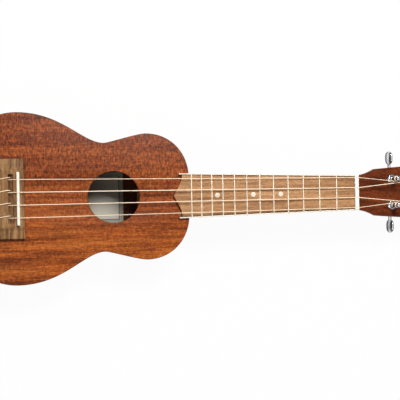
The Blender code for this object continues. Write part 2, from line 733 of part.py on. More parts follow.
def make_plate(string, frame):
    """A base plate with two upright lugs that carry the key's shaft."""
    inner, outer = lug_span()
    half = outer + INLAY
    middle = KEY_OFFSET / 2
    reach = TUNER_PLATE_LENGTH / 2
    low = middle - reach
    high = middle + reach
    cut = TUNER_PLATE_CORNER
    outline = [(low, cut - half), (low + cut, -half), (high - cut, -half), (high, cut - half),
               (high, half - cut), (high - cut, half), (low + cut, half), (low, half - cut)]
    rings = [[(u, v, w) for u, v in outline] for w in (PLATE_BACK, PLATE_FRONT)]
    plate = add_mesh(f"tuner_plate_{string}", loft(rings), CHROME, place=frame)
    lugs = bmesh.new()
    arch = [(LUG_WIDTH / 2 * math.cos(a), KEY_LEVEL - LUG_WIDTH / 2 * math.sin(a))
            for a in (math.pi * i / 6 for i in range(7))]
    root = PLATE_BACK + TUNER_PLATE_THICKNESS / 2
    side_view = arch + [(-LUG_WIDTH / 2, root), (LUG_WIDTH / 2, root)]
    for sign in (-1, 1):
        loft([[(KEY_OFFSET + u, sign * v, w) for u, w in side_view] for v in (inner, outer)], lugs)
    combine(plate, add_mesh("lug_tool", lugs, None, place=frame), "UNION")
    radius = clear_radius(SHAFT_RADIUS, RUNNING)
    across = Matrix.Translation((KEY_OFFSET, 0, KEY_LEVEL)) @ Matrix.Rotation(-math.pi / 2, 4, "X")
    bore = loft(moved([circle(radius, -2 * outer), circle(radius, 2 * outer)], across))
    combine(plate, add_mesh("shaft_bore_cutter", bore, None, place=frame), "DIFFERENCE")
    radius = clear_radius(POST_RADIUS, SEAT)
    bore = loft([circle(radius, 2 * PLATE_BACK), circle(radius, 0)])
    combine(plate, add_mesh("post_bore_cutter", bore, None, place=frame), "DIFFERENCE")


def make_post(string, frame):
    """The string post with its worm wheel; the wheel's teeth lean with the worm's thread."""
    wheel_front = KEY_LEVEL + GEAR_FACE / 2
    wheel_back = KEY_LEVEL - GEAR_FACE / 2
    hub = 0.7 * POST_RADIUS
    collar = POST_RADIUS + 2 * SEAT
    waist = POST_WAIST_RADIUS
    shoulder = SEAT + BUSHING_FLANGE_HEIGHT + SEAT
    cap = POST_RADIUS - INLAY
    under_cap = POST_HEIGHT - POST_CAP_HEIGHT
    profile = [(hub, wheel_back - 2 * SEAT), (hub, KEY_LEVEL), (collar, KEY_LEVEL),
               (collar, PLATE_BACK - SEAT), (POST_RADIUS, PLATE_BACK - SEAT), (POST_RADIUS, shoulder),
               (waist, shoulder + POST_TAPER), (waist, under_cap), (cap, under_cap + POST_CAP_EASE),
               (cap, POST_HEIGHT - POST_CAP_EASE), (cap - 1.5 * POST_CAP_EASE, POST_HEIGHT)]
    post = add_mesh(f"tuner_post_{string}", turned(profile), CHROME, place=frame)
    lean = GEAR_PITCH / (2 * math.pi * WORM_RADIUS) / GEAR_RADIUS
    tooth = 2 * math.pi / GEAR_TEETH
    rings = []
    for level in (wheel_back, wheel_front):
        ring = []
        for i in range(GEAR_TEETH):
            centre = (i + 0.25) * tooth + lean * (level - KEY_LEVEL)
            for side, above in ((-1, -GEAR_DEDENDUM), (-1, GEAR_ADDENDUM),
                                (1, GEAR_ADDENDUM), (1, -GEAR_DEDENDUM)):
                radius = GEAR_RADIUS + above
                angle = centre + side * thread_width(above) / 2 / radius
                ring.append((radius * math.cos(angle), radius * math.sin(angle), level))
        rings.append(ring)
    combine(post, add_mesh("wheel_tool", loft(rings), None, place=frame), "UNION")
    along = Matrix.Translation((0, 0, POST_HOLE_HEIGHT)) @ Matrix.Rotation(math.pi / 2, 4, "Y")
    rings = [circle(POST_HOLE_DIAMETER / 2, end, 10) for end in (-POST_RADIUS, POST_RADIUS)]
    hole = loft(moved(rings, along))
    combine(post, add_mesh("post_hole_cutter", hole, None, place=frame), "DIFFERENCE")
    smooth_rounds(post.data)


def key_ring(radius, along, wide=None):
    """A ring round the key's shaft, which lies along the local Y axis."""
    turn = 2 * math.pi / ROUND_SIDES
    wide = wide or radius
    return [Vector((radius * math.cos(i * turn), along, -wide * math.sin(i * turn)))
            for i in range(ROUND_SIDES)]


def make_key(string, frame):
    """Button, shaft and single-start worm in one piece."""
    along_head, across = POST_PLACES[string]
    low, high = worm_span()
    run_in = 2 * RUNNING
    button_start = head_half_width(along_head + KEY_OFFSET) + SHAFT_PAST_HEAD - abs(across)
    shape = bmesh.new()
    root = thread_width(-GEAR_DEDENDUM)
    crest = thread_width(GEAR_ADDENDUM)
    thread = ((0, SHAFT_RADIUS), ((root - crest) / 2, WORM_RADIUS + GEAR_ADDENDUM),
              ((root + crest) / 2, WORM_RADIUS + GEAR_ADDENDUM), (root, SHAFT_RADIUS))
    rows = len(thread) * WORM_TURNS + 1
    grid = []
    for k in range(ROUND_SIDES):
        column = []
        for row in range(rows):
            along, radius = thread[row % len(thread)]
            level = low + along + (row // len(thread) + k / ROUND_SIDES) * GEAR_PITCH
            column.append(shape.verts.new(key_ring(radius, level)[k]))
        grid.append(column)
    first = [shape.verts.new(point) for point in key_ring(SHAFT_RADIUS, low - run_in)]
    last = [shape.verts.new(point) for point in key_ring(SHAFT_RADIUS, high + run_in)]
    end = rows - 1
    start_column = grid[0]
    end_column = grid[-1]
    for k in range(ROUND_SIDES - 1):
        here = grid[k]
        there = grid[k + 1]
        shape.faces.new((first[k], here[0], there[0], first[k + 1]))
        shape.faces.new((here[end], last[k], last[k + 1], there[end]))
        for row in range(end):
            shape.faces.new((here[row], here[row + 1], there[row + 1], there[row]))
    for row in range(end - 4):
        shape.faces.new((end_column[row], end_column[row + 1], start_column[row + 5], start_column[row + 4]))
    shape.faces.new(start_column[:4])
    shape.faces.new(end_column[end - 4:end])
    start_fan = (end_column[0], start_column[4], start_column[3], start_column[0], first[0])
    end_fan = (start_column[end], end_column[end - 4], end_column[end - 1], end_column[end], last[-1])
    for fan, hub in ((start_fan, first[-1]), (end_fan, last[0])):
        for near, far in zip(fan, fan[1:]):
            shape.faces.new((hub, near, far))
    tail = [shape.verts.new(point) for point in key_ring(SHAFT_RADIUS, -lug_span()[1] - SEAT)]
    bridge_rings(shape, tail, first)
    shape.faces.new(tail)
    previous = last
    for point_ring in button_rings(button_start):
        ring = [shape.verts.new(point) for point in point_ring]
        bridge_rings(shape, previous, ring)
        previous = ring
    shape.faces.new(previous)
    turn = 0 if across > 0 else math.pi
    place = frame @ Matrix.Translation((KEY_OFFSET, 0, KEY_LEVEL)) @ Matrix.Rotation(turn, 4, "Z")
    add_mesh(f"tuner_key_{string}", shape, CHROME, place=place, smooth=True)


def bridge_rings(shape, low, high):
    count = len(low)
    for i in range(count):
        j = (i + 1) % count
        shape.faces.new((low[i], low[j], high[j], high[i]))


def button_rings(start):
    """A flattened oval button that grows out of the shaft."""
    rings = [key_ring(SHAFT_RADIUS, start)]
    for share in (0.06, 0.2, 0.4, 0.62, 0.82, 0.94, 1.0):
        swell = max(0.3, 1 - (2 * share - 1) ** 4) ** 0.5
        thick = BUTTON_THICKNESS / 2 * swell
        wide = BUTTON_WIDTH / 2 * swell
        rings.append(key_ring(thick, start + share * BUTTON_LENGTH, wide))
    return rings


# Strings and their windings

def tube(name, points, diameter, parent_place=Matrix.Identity(4)):
    curve = bpy.data.curves.new(name, "CURVE")
    curve.dimensions = "3D"
    curve.bevel_depth = diameter / 2
    curve.bevel_resolution = 1
    curve.use_fill_caps = True
    spline = curve.splines.new("POLY")
    spline.points.add(len(points) - 1)
    for slot, point in zip(spline.points, points):
        slot.co = (*point, 1)
    add_object(name, curve, NYLON, place=parent_place)


def winding_radius(diameter):
    return POST_WAIST_RADIUS + 2 * RUNNING + diameter / 2


def nut_exit(string, index):
    """Where a string leaves the nut's back edge."""
    level = string_underside(0) + STRING_DIAMETERS[string] / 2
    return Vector((station_x(0) + NUT_THICKNESS + INLAY, string_offset(index, 0), level))


def post_contact(string, index):
    """Angle round the post, in the tuner's frame, where the string meets its winding."""
    leave = tuner_frame(string).inverted() @ nut_exit(string, index)
    distance = math.hypot(leave.x, leave.y)
    side = 1 if POST_PLACES[string][1] > 0 else -1
    swing = math.acos(winding_radius(STRING_DIAMETERS[string]) / distance)
    return math.atan2(leave.y, leave.x) + side * swing, side


def winding_levels(string, index):
    """Sweep of the winding, its height gained in a turn, and its lowest level."""
    diameter = STRING_DIAMETERS[string]
    contact, side = post_contact(string, index)
    to_hole = (-side * contact) % (2 * math.pi)
    sweep = 4 * math.pi + to_hole
    climb = diameter + WINDING_GAP
    return sweep, climb, POST_HOLE_HEIGHT - climb * sweep / (2 * math.pi)


def least_gap(points, diameter, per_turn):
    """Smallest clear distance between turns of a winding, measured on its points."""
    least = math.inf
    for i, point in enumerate(points):
        for other in points[i + per_turn // 2:]:
            least = min(least, (point - other).length - diameter)
    return least


def make_winding(string, index, frame):
    """Turns round the post's waist that climb to the cross hole and end inside it."""
    per_turn = 24
    diameter = STRING_DIAMETERS[string]
    radius = winding_radius(diameter)
    contact, side = post_contact(string, index)
    sweep, climb, base = winding_levels(string, index)
    dive = math.radians(42)
    steps = round((sweep - dive) / (2 * math.pi) * per_turn)
    points = []
    for i in range(steps + 1):
        turn = (sweep - dive) * i / steps
        angle = contact + side * turn
        level = base + climb * turn / (2 * math.pi)
        points.append(Vector((radius * math.cos(angle), radius * math.sin(angle), level)))
    last = points[-1]
    heading = Vector((-side * last.y, side * last.x, 0)).normalized()
    hole = POST_HOLE_HEIGHT
    control = (last, last + heading * 0.45 * radius, Vector((0.75 * radius, 0, hole)), Vector((0, 0, hole)))
    points += interpolate_bezier(*control, 7)[1:]
    points.append(Vector((-0.4 * radius, 0, hole)))
    print(f"winding {string}: least gap to itself {least_gap(points, diameter, per_turn) * 1000:.2f} mm")
    tube(f"string_winding_{string}", points, diameter, frame)


def make_string(string, index, frame):
    """From its tied loop on the bridge, over the saddle and nut, to the foot of its winding."""
    diameter = STRING_DIAMETERS[string]
    radius = diameter / 2
    y = string_offset(index, SADDLE_AT)
    block_front = SADDLE_AT + RIDGE_BEHIND + CHANNEL_WIDTH
    block_back = block_front + TIE_BLOCK_WIDTH
    over = BRIDGE_TOP + radius + 2 * INLAY
    hole = BRIDGE_BOTTOM + STRING_HOLE_HEIGHT
    clear = radius + 2 * INLAY
    saddle_level = string_underside(SADDLE_AT) + radius
    slope = (saddle_level - hole) / (block_front - SADDLE_AT - SADDLE_THICKNESS / 2)
    ridge_level = max(over, saddle_level - slope * (RIDGE_BEHIND - SADDLE_THICKNESS / 2))
    beside = y + LOOP_ASIDE
    round_off = 0.75 * clear
    below = BRIDGE_TOP - LOOP_EASE
    above = BRIDGE_TOP + round_off
    saddle_back = SADDLE_AT + SADDLE_THICKNESS / 2
    saddle_front = SADDLE_AT - SADDLE_THICKNESS / 2
    route = [(block_front - LOOP_TAIL, beside, hole - 2 * INLAY),
             (block_front - clear - LOOP_EASE / 2, beside, hole + LOOP_EASE),
             (block_front - clear, beside, below),
             (block_front - round_off, beside, above),
             (block_front + LOOP_EASE, beside, over),
             (block_front + TIE_BLOCK_WIDTH / 2, y + 0.6 * LOOP_ASIDE, over + INLAY),
             (block_back - LOOP_EASE, y + 0.2 * LOOP_ASIDE, over),
             (block_back + round_off, y, above),
             (block_back + clear, y, below),
             (block_back + clear, y, hole + 2 * LOOP_EASE),
             (block_back + round_off, y, hole + LOOP_EASE / 2),
             (block_back - INLAY, y, hole),
             (block_front, y, hole),
             (block_front - LOOP_EASE, y, hole + 2 * INLAY),
             (SADDLE_AT + RIDGE_BEHIND + round_off, y, ridge_level),
             (saddle_back, y, saddle_level + INLAY),
             (saddle_front, y, string_underside(saddle_front) + radius + INLAY)]
    points = [Vector((station_x(station), across, level)) for station, across, level in route]
    points.append(Vector((station_x(0), string_offset(index, 0), string_underside(0) + radius)))
    leave = nut_exit(string, index)
    points.append(leave)
    contact, _ = post_contact(string, index)
    base = winding_levels(string, index)[2]
    reach = winding_radius(diameter)
    foot = frame @ Vector((reach * math.cos(contact), reach * math.sin(contact), base - diameter - RUNNING))
    points.append(foot)
    tube(f"string_{string}", points, diameter)


def main():
    for old in list(bpy.data.objects):
        bpy.data.objects.remove(old)
    make_plates()
    make_sides_and_linings()
    make_blocks()
    make_braces()
    make_neck()
    make_fingerboard()
    make_bindings()
    make_frets()
    make_dots()
    make_nut()
    make_bridge()
    make_saddle()
    for index, string in enumerate(STRING_DIAMETERS):
        frame = tuner_frame(string)
        make_plate(string, frame)
        make_bushing(string, frame)
        make_post(string, frame)
        make_key(string, frame)
        make_winding(string, index, frame)
        make_string(string, index, frame)


main()
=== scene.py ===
"""Soprano ukulele in mahogany, walnut, nylon and chrome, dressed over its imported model.

Metres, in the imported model's frame: +X from the tail to the head, +Y the
low-G side, z = 0 under the back.
"""
import math

import bpy
from mathutils import Matrix, Vector
from mathutils.geometry import interpolate_bezier


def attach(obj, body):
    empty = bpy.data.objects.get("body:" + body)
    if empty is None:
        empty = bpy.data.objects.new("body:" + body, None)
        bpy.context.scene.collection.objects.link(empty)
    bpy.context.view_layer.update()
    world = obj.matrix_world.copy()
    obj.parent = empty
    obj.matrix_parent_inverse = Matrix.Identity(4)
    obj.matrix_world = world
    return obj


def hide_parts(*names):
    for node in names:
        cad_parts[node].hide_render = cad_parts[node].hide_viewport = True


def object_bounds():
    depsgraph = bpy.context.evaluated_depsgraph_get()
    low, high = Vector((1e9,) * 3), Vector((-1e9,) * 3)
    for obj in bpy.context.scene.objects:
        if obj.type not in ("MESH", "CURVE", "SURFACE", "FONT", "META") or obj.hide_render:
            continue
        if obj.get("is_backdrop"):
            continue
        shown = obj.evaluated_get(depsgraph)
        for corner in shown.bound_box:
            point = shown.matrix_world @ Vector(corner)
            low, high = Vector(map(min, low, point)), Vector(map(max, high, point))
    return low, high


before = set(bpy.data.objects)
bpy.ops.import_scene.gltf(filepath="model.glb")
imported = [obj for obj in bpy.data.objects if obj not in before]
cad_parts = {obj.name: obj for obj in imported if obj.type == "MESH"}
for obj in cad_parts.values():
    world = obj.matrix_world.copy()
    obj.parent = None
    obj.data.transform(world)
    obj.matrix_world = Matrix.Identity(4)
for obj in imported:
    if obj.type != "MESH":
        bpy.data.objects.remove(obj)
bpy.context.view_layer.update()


# Sides: two thin strips of mahogany, bent over a hot iron to the figure-eight
# and glued to a block at each end, where they meet on the centre line.
# The grain follows the bend, so their finish reads a map along the strip.

class Shade:
    """A socket in a material's node tree; sums on it add Math nodes."""

    def __init__(self, tree, socket=None):
        self.tree = tree
        self.socket = socket

    def node(self, kind, settings=None, sockets=None, out=0):
        """Add any node: first its settings, then the values or links of its sockets."""
        made = self.tree.nodes.new(kind)
        for name, value in (settings or {}).items():
            if name == "stops":
                stops = made.color_ramp.elements
                while len(stops) < len(value):
                    stops.new(1.0)
                for stop, (position, colour) in zip(stops, value):
                    stop.position = position
                    stop.color = colour
            else:
                setattr(made, name, value)
        for key, value in (sockets or {}).items():
            if isinstance(value, Shade):
                self.tree.links.new(value.socket, made.inputs[key])
            else:
                made.inputs[key].default_value = value
        return Shade(self.tree, made.outputs[out])

    def math(self, operation, first, second):
        return self.node("ShaderNodeMath", {"operation": operation}, {0: first, 1: second})

    def __add__(self, other):
        return self.math("ADD", self, other)

    __radd__ = __add__

    def __sub__(self, other):
        return self.math("SUBTRACT", self, other)

    def __rsub__(self, other):
        return self.math("SUBTRACT", other, self)

    def __mul__(self, other):
        return self.math("MULTIPLY", self, other)

    __rmul__ = __mul__

    def step(self, low, high):
        """0 below low, 1 above high, with a soft rise between."""
        return self.node("ShaderNodeMapRange", {"interpolation_type": "SMOOTHSTEP"},
                         {"Value": self, "From Min": low, "From Max": high})

    def blend(self, colour, other):
        """From one colour to the other as this value goes from 0 to 1."""
        return self.node("ShaderNodeMix", {"data_type": "RGBA"}, {0: self, 6: colour, 7: other}, out=2)

    def tint(self, colour):
        """This colour times another one, or times a plain value."""
        return self.node("ShaderNodeMix", {"data_type": "RGBA", "blend_type": "MULTIPLY"},
                         {0: 1.0, 6: self, 7: colour}, out=2)

    def noise(self, scale, detail=2.0, shift=0.0):
        """Noise over this place, stretched by its own scale along each axis."""
        place = self.node("ShaderNodeMapping", None,
                          {"Vector": self, "Scale": scale, "Location": (shift, shift, shift)})
        return self.node("ShaderNodeTexNoise", None, {"Vector": place, "Scale": 1.0, "Detail": detail})

    def feed(self, shader, socket):
        self.tree.links.new(self.socket, shader.inputs[socket])


def tone(red, green, blue):
    """A colour as seen on screen, from 0 to 255, as light."""
    def light(level):
        share = level / 255
        return share / 12.92 if share <= 0.04045 else ((share + 0.055) / 1.055) ** 2.4
    return light(red), light(green), light(blue), 1.0


def begin_finish(name, place="Object"):
    """A new material, with its shader and the place that its patterns read."""
    finish = bpy.data.materials.new(name)
    finish.use_nodes = True
    shader = finish.node_tree.nodes["Principled BSDF"]
    return finish, shader, Shade(finish.node_tree).node("ShaderNodeTexCoord", out=place)


WANDER_SCALE = (14, 14, 14)
LINE_SCALE = (30, 850, 850)
PORE_SCALE = (330, 4200, 4200)
FLECK_SCALE = (300, 620, 620)
GRAIN_SWAY = 0.010
GRAIN_RELIEF = 0.0002
BAND_SHARE = 0.66
LINE_SHARE = 0.34
PORE_SHARE = 0.45


def wood_finish(name, deep, middle, pale, pore, roughness, place="Object", turn=0.0, shift=0.0,
                ribbon=(7, 105, 105), fleck=0.0):
    """Sawn wood with its grain along X: ribbons, fine lines, short flecks and open pores."""
    finish, shader, at = begin_finish(name, place)
    run = at.node("ShaderNodeMapping", None, {"Vector": at, "Rotation": (0, 0, turn)})
    sway = run.noise(WANDER_SCALE, 2, shift + 3) * GRAIN_SWAY
    run = run.node("ShaderNodeVectorMath", {"operation": "ADD"},
                   {0: run, 1: run.node("ShaderNodeCombineXYZ", None, {"Y": sway, "Z": sway})})
    bands = run.noise(ribbon, 4, shift)
    lines = run.noise(LINE_SCALE, 3, shift + 5)
    pores = run.noise(PORE_SCALE, 1, shift + 7).step(0.57, 0.68)
    flecks = run.noise(FLECK_SCALE, 3, shift + 9) - 0.5
    figure = bands * BAND_SHARE + lines * LINE_SHARE + flecks * fleck
    colour = figure.node("ShaderNodeValToRGB",
                         {"stops": [(0.34, deep), (0.50, middle), (0.66, pale)]}, {"Fac": figure})
    colour = (pores * PORE_SHARE).blend(colour, pore)
    colour.feed(shader, "Base Color")
    (roughness + pores * 0.15 - lines * 0.06).feed(shader, "Roughness")
    shader.inputs["Specular IOR Level"].default_value = 0.15
    relief = lines * 0.35 - pores
    relief.node("ShaderNodeBump", None, {"Strength": 0.22, "Distance": GRAIN_RELIEF, "Height": relief}
                ).feed(shader, "Normal")
    return finish


NUT_EDGE = 0.154595
BODY_START = NUT_EDGE - 0.1750
BODY_DEPTH = 0.060
PLATE = 0.002
SIDE_THICKNESS = 0.002
JOINT_GAP = 0.0001
JOINT_REACH = 0.0060
OUTLINE_STEPS = 24
# Each knot: distance from the neck joint, half width, reach before it, reach after it
BASS_KNOTS = (
    (0.0, 0.0182, (0.0, -0.0060), (0.0, 0.0274)),
    (0.0444, 0.0652, (-0.0254, 0.0), (0.0094, 0.0)),
    (0.0875, 0.0560, (-0.0052, 0.0), (0.0215, 0.0)),
    (0.1761, 0.0883, (-0.0459, 0.0), (0.0357, 0.0)),
    (0.2410, 0.0, (0.0, 0.060), (0.0, -0.060)))

body_knots = [((BODY_START - along, half), (-into[0], into[1]), (-out[0], out[1]))
              for along, half, into, out in BASS_KNOTS]


def clear_selection():
    bpy.ops.object.select_all(action="DESELECT")


def pick(piece):
    clear_selection()
    piece.select_set(True)
    bpy.context.view_layer.objects.active = piece


def trace(name, splines, closed=True, steps=OUTLINE_STEPS):
    """A flat outline; each spline is knots of a place and the reach of its two handles."""
    clear_selection()
    bpy.ops.curve.primitive_bezier_curve_add()
    line = bpy.context.object
    line.name = name
    line.data.dimensions = "2D"
    line.data.resolution_u = steps
    line.data.splines.clear()
    for knots in splines:
        spline = line.data.splines.new("BEZIER")
        spline.bezier_points.add(len(knots) - 1)
        for point, (place, into, out) in zip(spline.bezier_points, knots):
            point.handle_left_type = "FREE"
            point.handle_right_type = "FREE"
            point.co = (*place, 0)
            point.handle_left = (place[0] + into[0], place[1] + into[1], 0)
            point.handle_right = (place[0] + out[0], place[1] + out[1], 0)
        spline.use_cyclic_u = closed
    return line


def to_mesh(piece):
    """Turn a curve into a mesh and keep its name."""
    name = piece.name
    pick(piece)
    bpy.ops.object.convert(target="MESH")
    made = bpy.context.object
    made.name = name
    return made


def merge_seams(piece):
    """Join loose edges and point every face outwards."""
    pick(piece)
    bpy.ops.object.mode_set(mode="EDIT")
    bpy.ops.mesh.select_all(action="SELECT")
    bpy.ops.mesh.remove_doubles(threshold=1e-6)
    bpy.ops.mesh.normals_make_consistent(inside=False)
    bpy.ops.object.mode_set(mode="OBJECT")


def smooth(piece, angle=35):
    pick(piece)
    bpy.ops.object.shade_smooth_by_angle(angle=math.radians(angle))


def dress(piece, finish, slot, body, *nodes):
    """Give a finished piece its material, its body and the nodes it stands for; its slot is not used."""
    piece.data.materials.clear()
    piece.data.materials.append(finish)
    if nodes:
        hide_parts(*nodes)
    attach(piece, body)


side_finish = wood_finish("side_mahogany", tone(112, 52, 26), tone(150, 79, 43), tone(172, 98, 58),
                          tone(74, 32, 16), 0.42, place="UV", fleck=0.25)
joint_centre = ((BODY_START, JOINT_GAP), (0, 0), (0, JOINT_REACH))
bend = to_mesh(trace("bend", [[joint_centre] + body_knots], closed=False))
path = [vertex.co.copy() for vertex in bend.data.vertices]
bpy.data.objects.remove(bend)
rings = []
travelled = {}
length = 0.0
for before, here, after in zip(path[:1] + path, path, path[1:] + path[-1:]):
    length += (here - before).length
    run = after - before
    inward = Vector((-run.y, run.x, 0)).normalized()
    if here in (path[0], path[-1]):
        inward = Vector((-1 if here == path[0] else 1, 0, 0))
    inner = here + inward * SIDE_THICKNESS
    for point in (here, inner):
        travelled[(round(point.x, 6), round(point.y, 6))] = length
    low = Vector((0, 0, PLATE))
    high = Vector((0, 0, BODY_DEPTH - PLATE))
    rings.append((here + low, here + high, inner + high, inner + low, here + low))
for side, sign in (("bass", 1), ("treble", -1)):
    clear_selection()
    bpy.ops.mesh.primitive_grid_add(x_subdivisions=len(rings) - 1, y_subdivisions=4, size=1)
    wall = bpy.context.object
    wall.name = f"side_{side}_wall"
    for vertex in wall.data.vertices:
        ring = round((vertex.co.x + 0.5) * (len(rings) - 1))
        vertex.co = rings[ring][round((vertex.co.y + 0.5) * 4)]
    merge_seams(wall)
    bpy.ops.object.mode_set(mode="EDIT")
    bpy.ops.mesh.fill_holes(sides=0)
    bpy.ops.object.mode_set(mode="OBJECT")
    strip = wall.data.uv_layers.new(name="strip")
    for corner in wall.data.loops:
        spot = wall.data.vertices[corner.vertex_index].co
        strip.data[corner.index].uv = (travelled[(round(spot.x, 6), round(spot.y, 6))], spot.z)
    wall.data.transform(Matrix.Diagonal((1, sign, 1, 1)))
    merge_seams(wall)
    smooth(wall)
    dress(wall, side_finish, "body_wood", "root", f"side_{side}")


# Blocks, linings and braces: pale softwood inside the body, glued where the
# sides, the back and the soundboard meet and across the two plates.
# They are raw wood, and only show through the sound hole.

inner_finish = wood_finish("raw_softwood", tone(168, 122, 76), tone(192, 148, 98), tone(208, 168, 118),
                           tone(150, 104, 62), 0.68, ribbon=(6, 420, 420))
for node in ("neck_block", "tail_block", "top_lining_bass", "top_lining_treble", "back_lining_bass",
             "back_lining_treble", "soundboard_brace_upper", "soundboard_brace_lower",
             "back_brace_upper", "back_brace_lower"):
    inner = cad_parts[node]
    inner.data.materials.clear()
    inner.data.materials.append(inner_finish)


# Back: a thin mahogany plate cut to the sides' outline and glued to the
# linings, with its outer edge eased by sanding.

EDGE_ROUND = 0.0006
SHADED_INSIDE_FACING = 0.9


def mirrored(knots):
    """The same knots on the treble side, in the order that carries on from the bass side."""
    return [((place[0], -place[1]), (out[0], -out[1]), (into[0], -into[1]))
            for place, into, out in reversed(knots)]


def plate(name, splines, thickness, edge, steps=OUTLINE_STEPS):
    """A flat plate of the outlines' shape, with round edges, resting on z = 0."""
    line = trace(name, splines, steps=steps)
    line.data.fill_mode = "BOTH"
    line.data.extrude = thickness / 2 - edge
    line.data.bevel_depth = edge
    line.data.bevel_resolution = 3
    line.data.offset = -edge
    made = to_mesh(line)
    made.data.transform(Matrix.Translation((0, 0, thickness / 2)))
    merge_seams(made)
    return made


outline = body_knots + mirrored(body_knots[:-1])
back_finish = wood_finish("back_mahogany", tone(118, 55, 28), tone(152, 80, 43), tone(172, 97, 57),
                          tone(74, 32, 16), 0.42, shift=21, fleck=0.25)
back = plate("back_plate", [outline], PLATE + EDGE_ROUND, EDGE_ROUND)
smooth(back)
dress(back, back_finish, "body_wood", "root", "back")
# Painted shade: the back's upward inner face gets a much darker mahogany, standing for the shade inside
# the body
inside_shade_finish = wood_finish("inside_mahogany_painted_shade", tone(66, 30, 15), tone(88, 44, 23), tone(104, 56, 32),
                            tone(44, 20, 10), 0.70, shift=25, fleck=0.25)
back.data.materials.append(inside_shade_finish)
for face in back.data.polygons:
    if face.normal.z > SHADED_INSIDE_FACING:
        face.material_index = 1


# Label: a slip of bare paper with a ruled border and a grey margin, glued to
# the inside of the back below the sound hole, its corners slightly lifted.

LABEL_CENTRE = Vector((-0.1183, -0.0005, PLATE + EDGE_ROUND))
LABEL_SIZE = (0.063, 0.056)
RULE_INSET = 0.0045
RULE_HALF = 0.0006
RULE_FADE = 0.0002
MARGIN_SHADE = 0.55
LABEL_BED = 0.0002
LABEL_THICKNESS = 0.00012
CORNER_LIFT = 0.0006
FIBRE_RELIEF = 0.0001


def apply_modifier(piece, kind, **settings):
    pick(piece)
    step = piece.modifiers.new("step", kind)
    for name, value in settings.items():
        setattr(step, name, value)
    bpy.ops.object.modifier_apply(modifier="step")


clear_selection()
bpy.ops.mesh.primitive_grid_add(x_subdivisions=24, y_subdivisions=20, size=1)
label = bpy.context.object
label.name = "paper_label"
for vertex in label.data.vertices:
    lift = (2 * abs(vertex.co.x) * 2 * abs(vertex.co.y)) ** 6
    vertex.co = Vector((vertex.co.x * LABEL_SIZE[0], vertex.co.y * LABEL_SIZE[1],
                        LABEL_BED + CORNER_LIFT * lift))
label.data.transform(Matrix.Translation(LABEL_CENTRE))
apply_modifier(label, "SOLIDIFY", thickness=LABEL_THICKNESS, offset=1)
smooth(label)
paper, shader, at = begin_finish("label_paper")
fibres = at.noise((900, 900, 900), 3)
stains = at.noise((45, 45, 45), 3, 4)
sheet = fibres.blend(tone(192, 184, 167), tone(209, 201, 186))
sheet = (stains.step(0.5, 0.8) * 0.4).blend(sheet, tone(204, 194, 169))
inset = at.node("ShaderNodeVectorMath", {"operation": "SUBTRACT"}, {0: at, 1: LABEL_CENTRE})
inset = inset.node("ShaderNodeVectorMath", {"operation": "ABSOLUTE"}, {0: inset})
inset = inset.node("ShaderNodeVectorMath", {"operation": "SUBTRACT"},
                   {0: inset, 1: (LABEL_SIZE[0] / 2 - RULE_INSET, LABEL_SIZE[1] / 2 - RULE_INSET, 0)})
beyond_x = inset.node("ShaderNodeSeparateXYZ", None, {"Vector": inset}, out="X")
beyond_y = inset.node("ShaderNodeSeparateXYZ", None, {"Vector": inset}, out="Y")
border = beyond_x.math("MAXIMUM", beyond_x, beyond_y)
rule = (border.step(-RULE_HALF, RULE_FADE - RULE_HALF)
        * (1 - border.step(RULE_HALF - RULE_FADE, RULE_HALF)))
sheet = (border.step(0, RULE_HALF) * MARGIN_SHADE).blend(sheet, tone(120, 116, 102))
sheet = (rule * 0.8).blend(sheet, tone(60, 58, 54))
sheet.feed(shader, "Base Color")
(0.78 + fibres * 0.12).feed(shader, "Roughness")
fibres.node("ShaderNodeBump", None, {"Strength": 0.15, "Distance": FIBRE_RELIEF, "Height": fibres}
            ).feed(shader, "Normal")
dress(label, paper, "cream_plastic", "root")


# Soundboard: a thin mahogany plate, more rippled on the bass half and cooler
# there, partly its own tone and partly painted shade; glued over the linings,
# with a round hole sawn under the strings.

HOLE_AT = BODY_START - 0.0781
HOLE_RADIUS = 0.0265
ROUND_REACH = 0.5523 * HOLE_RADIUS
SHADED_EDGE_FACING = (-0.5, 0.93)
HALVES_MEET = 0.045
RIPPLE_SCALE = (640, 240, 420)
RIPPLE_DEPTH = 3.5
RIPPLE_LEAST = 0.3
STREAK_SCALE = (16, 300, 300)
STREAK_DEPTH = 2.0
# Each half's tint: the bass half's darker, cooler tint is partly the wood's tone and partly painted shade
BASS_SHADE_TINT = tone(210, 188, 152)
TREBLE_TINT = tone(250, 234, 172)


def drawn_over(finish):
    """A finish's shader, its colour so far and the place that its patterns read, to draw over it."""
    shader = finish.node_tree.nodes["Principled BSDF"]
    colour = Shade(finish.node_tree, shader.inputs["Base Color"].links[0].from_socket)
    return shader, colour, colour.node("ShaderNodeTexCoord", out="Object")


hole = [((HOLE_AT + HOLE_RADIUS, 0), (0, -ROUND_REACH), (0, ROUND_REACH)),
        ((HOLE_AT, HOLE_RADIUS), (ROUND_REACH, 0), (-ROUND_REACH, 0)),
        ((HOLE_AT - HOLE_RADIUS, 0), (0, ROUND_REACH), (0, -ROUND_REACH)),
        ((HOLE_AT, -HOLE_RADIUS), (-ROUND_REACH, 0), (ROUND_REACH, 0))]
top_finish = wood_finish("top_mahogany", tone(110, 50, 24), tone(157, 84, 45), tone(192, 114, 68),
                         tone(80, 36, 20), 0.42, shift=2, fleck=0.5)
shader, colour, at = drawn_over(top_finish)
half = at.node("ShaderNodeSeparateXYZ", None, {"Vector": at}, out="Y").step(-HALVES_MEET, HALVES_MEET)
ripple = (at.noise(RIPPLE_SCALE, 3, 31) - 0.5) * RIPPLE_DEPTH
ripple = ripple * (half * (1 - RIPPLE_LEAST) + RIPPLE_LEAST)
streaks = (at.noise(STREAK_SCALE, 4, 37) - 0.5) * STREAK_DEPTH * (1 - half)
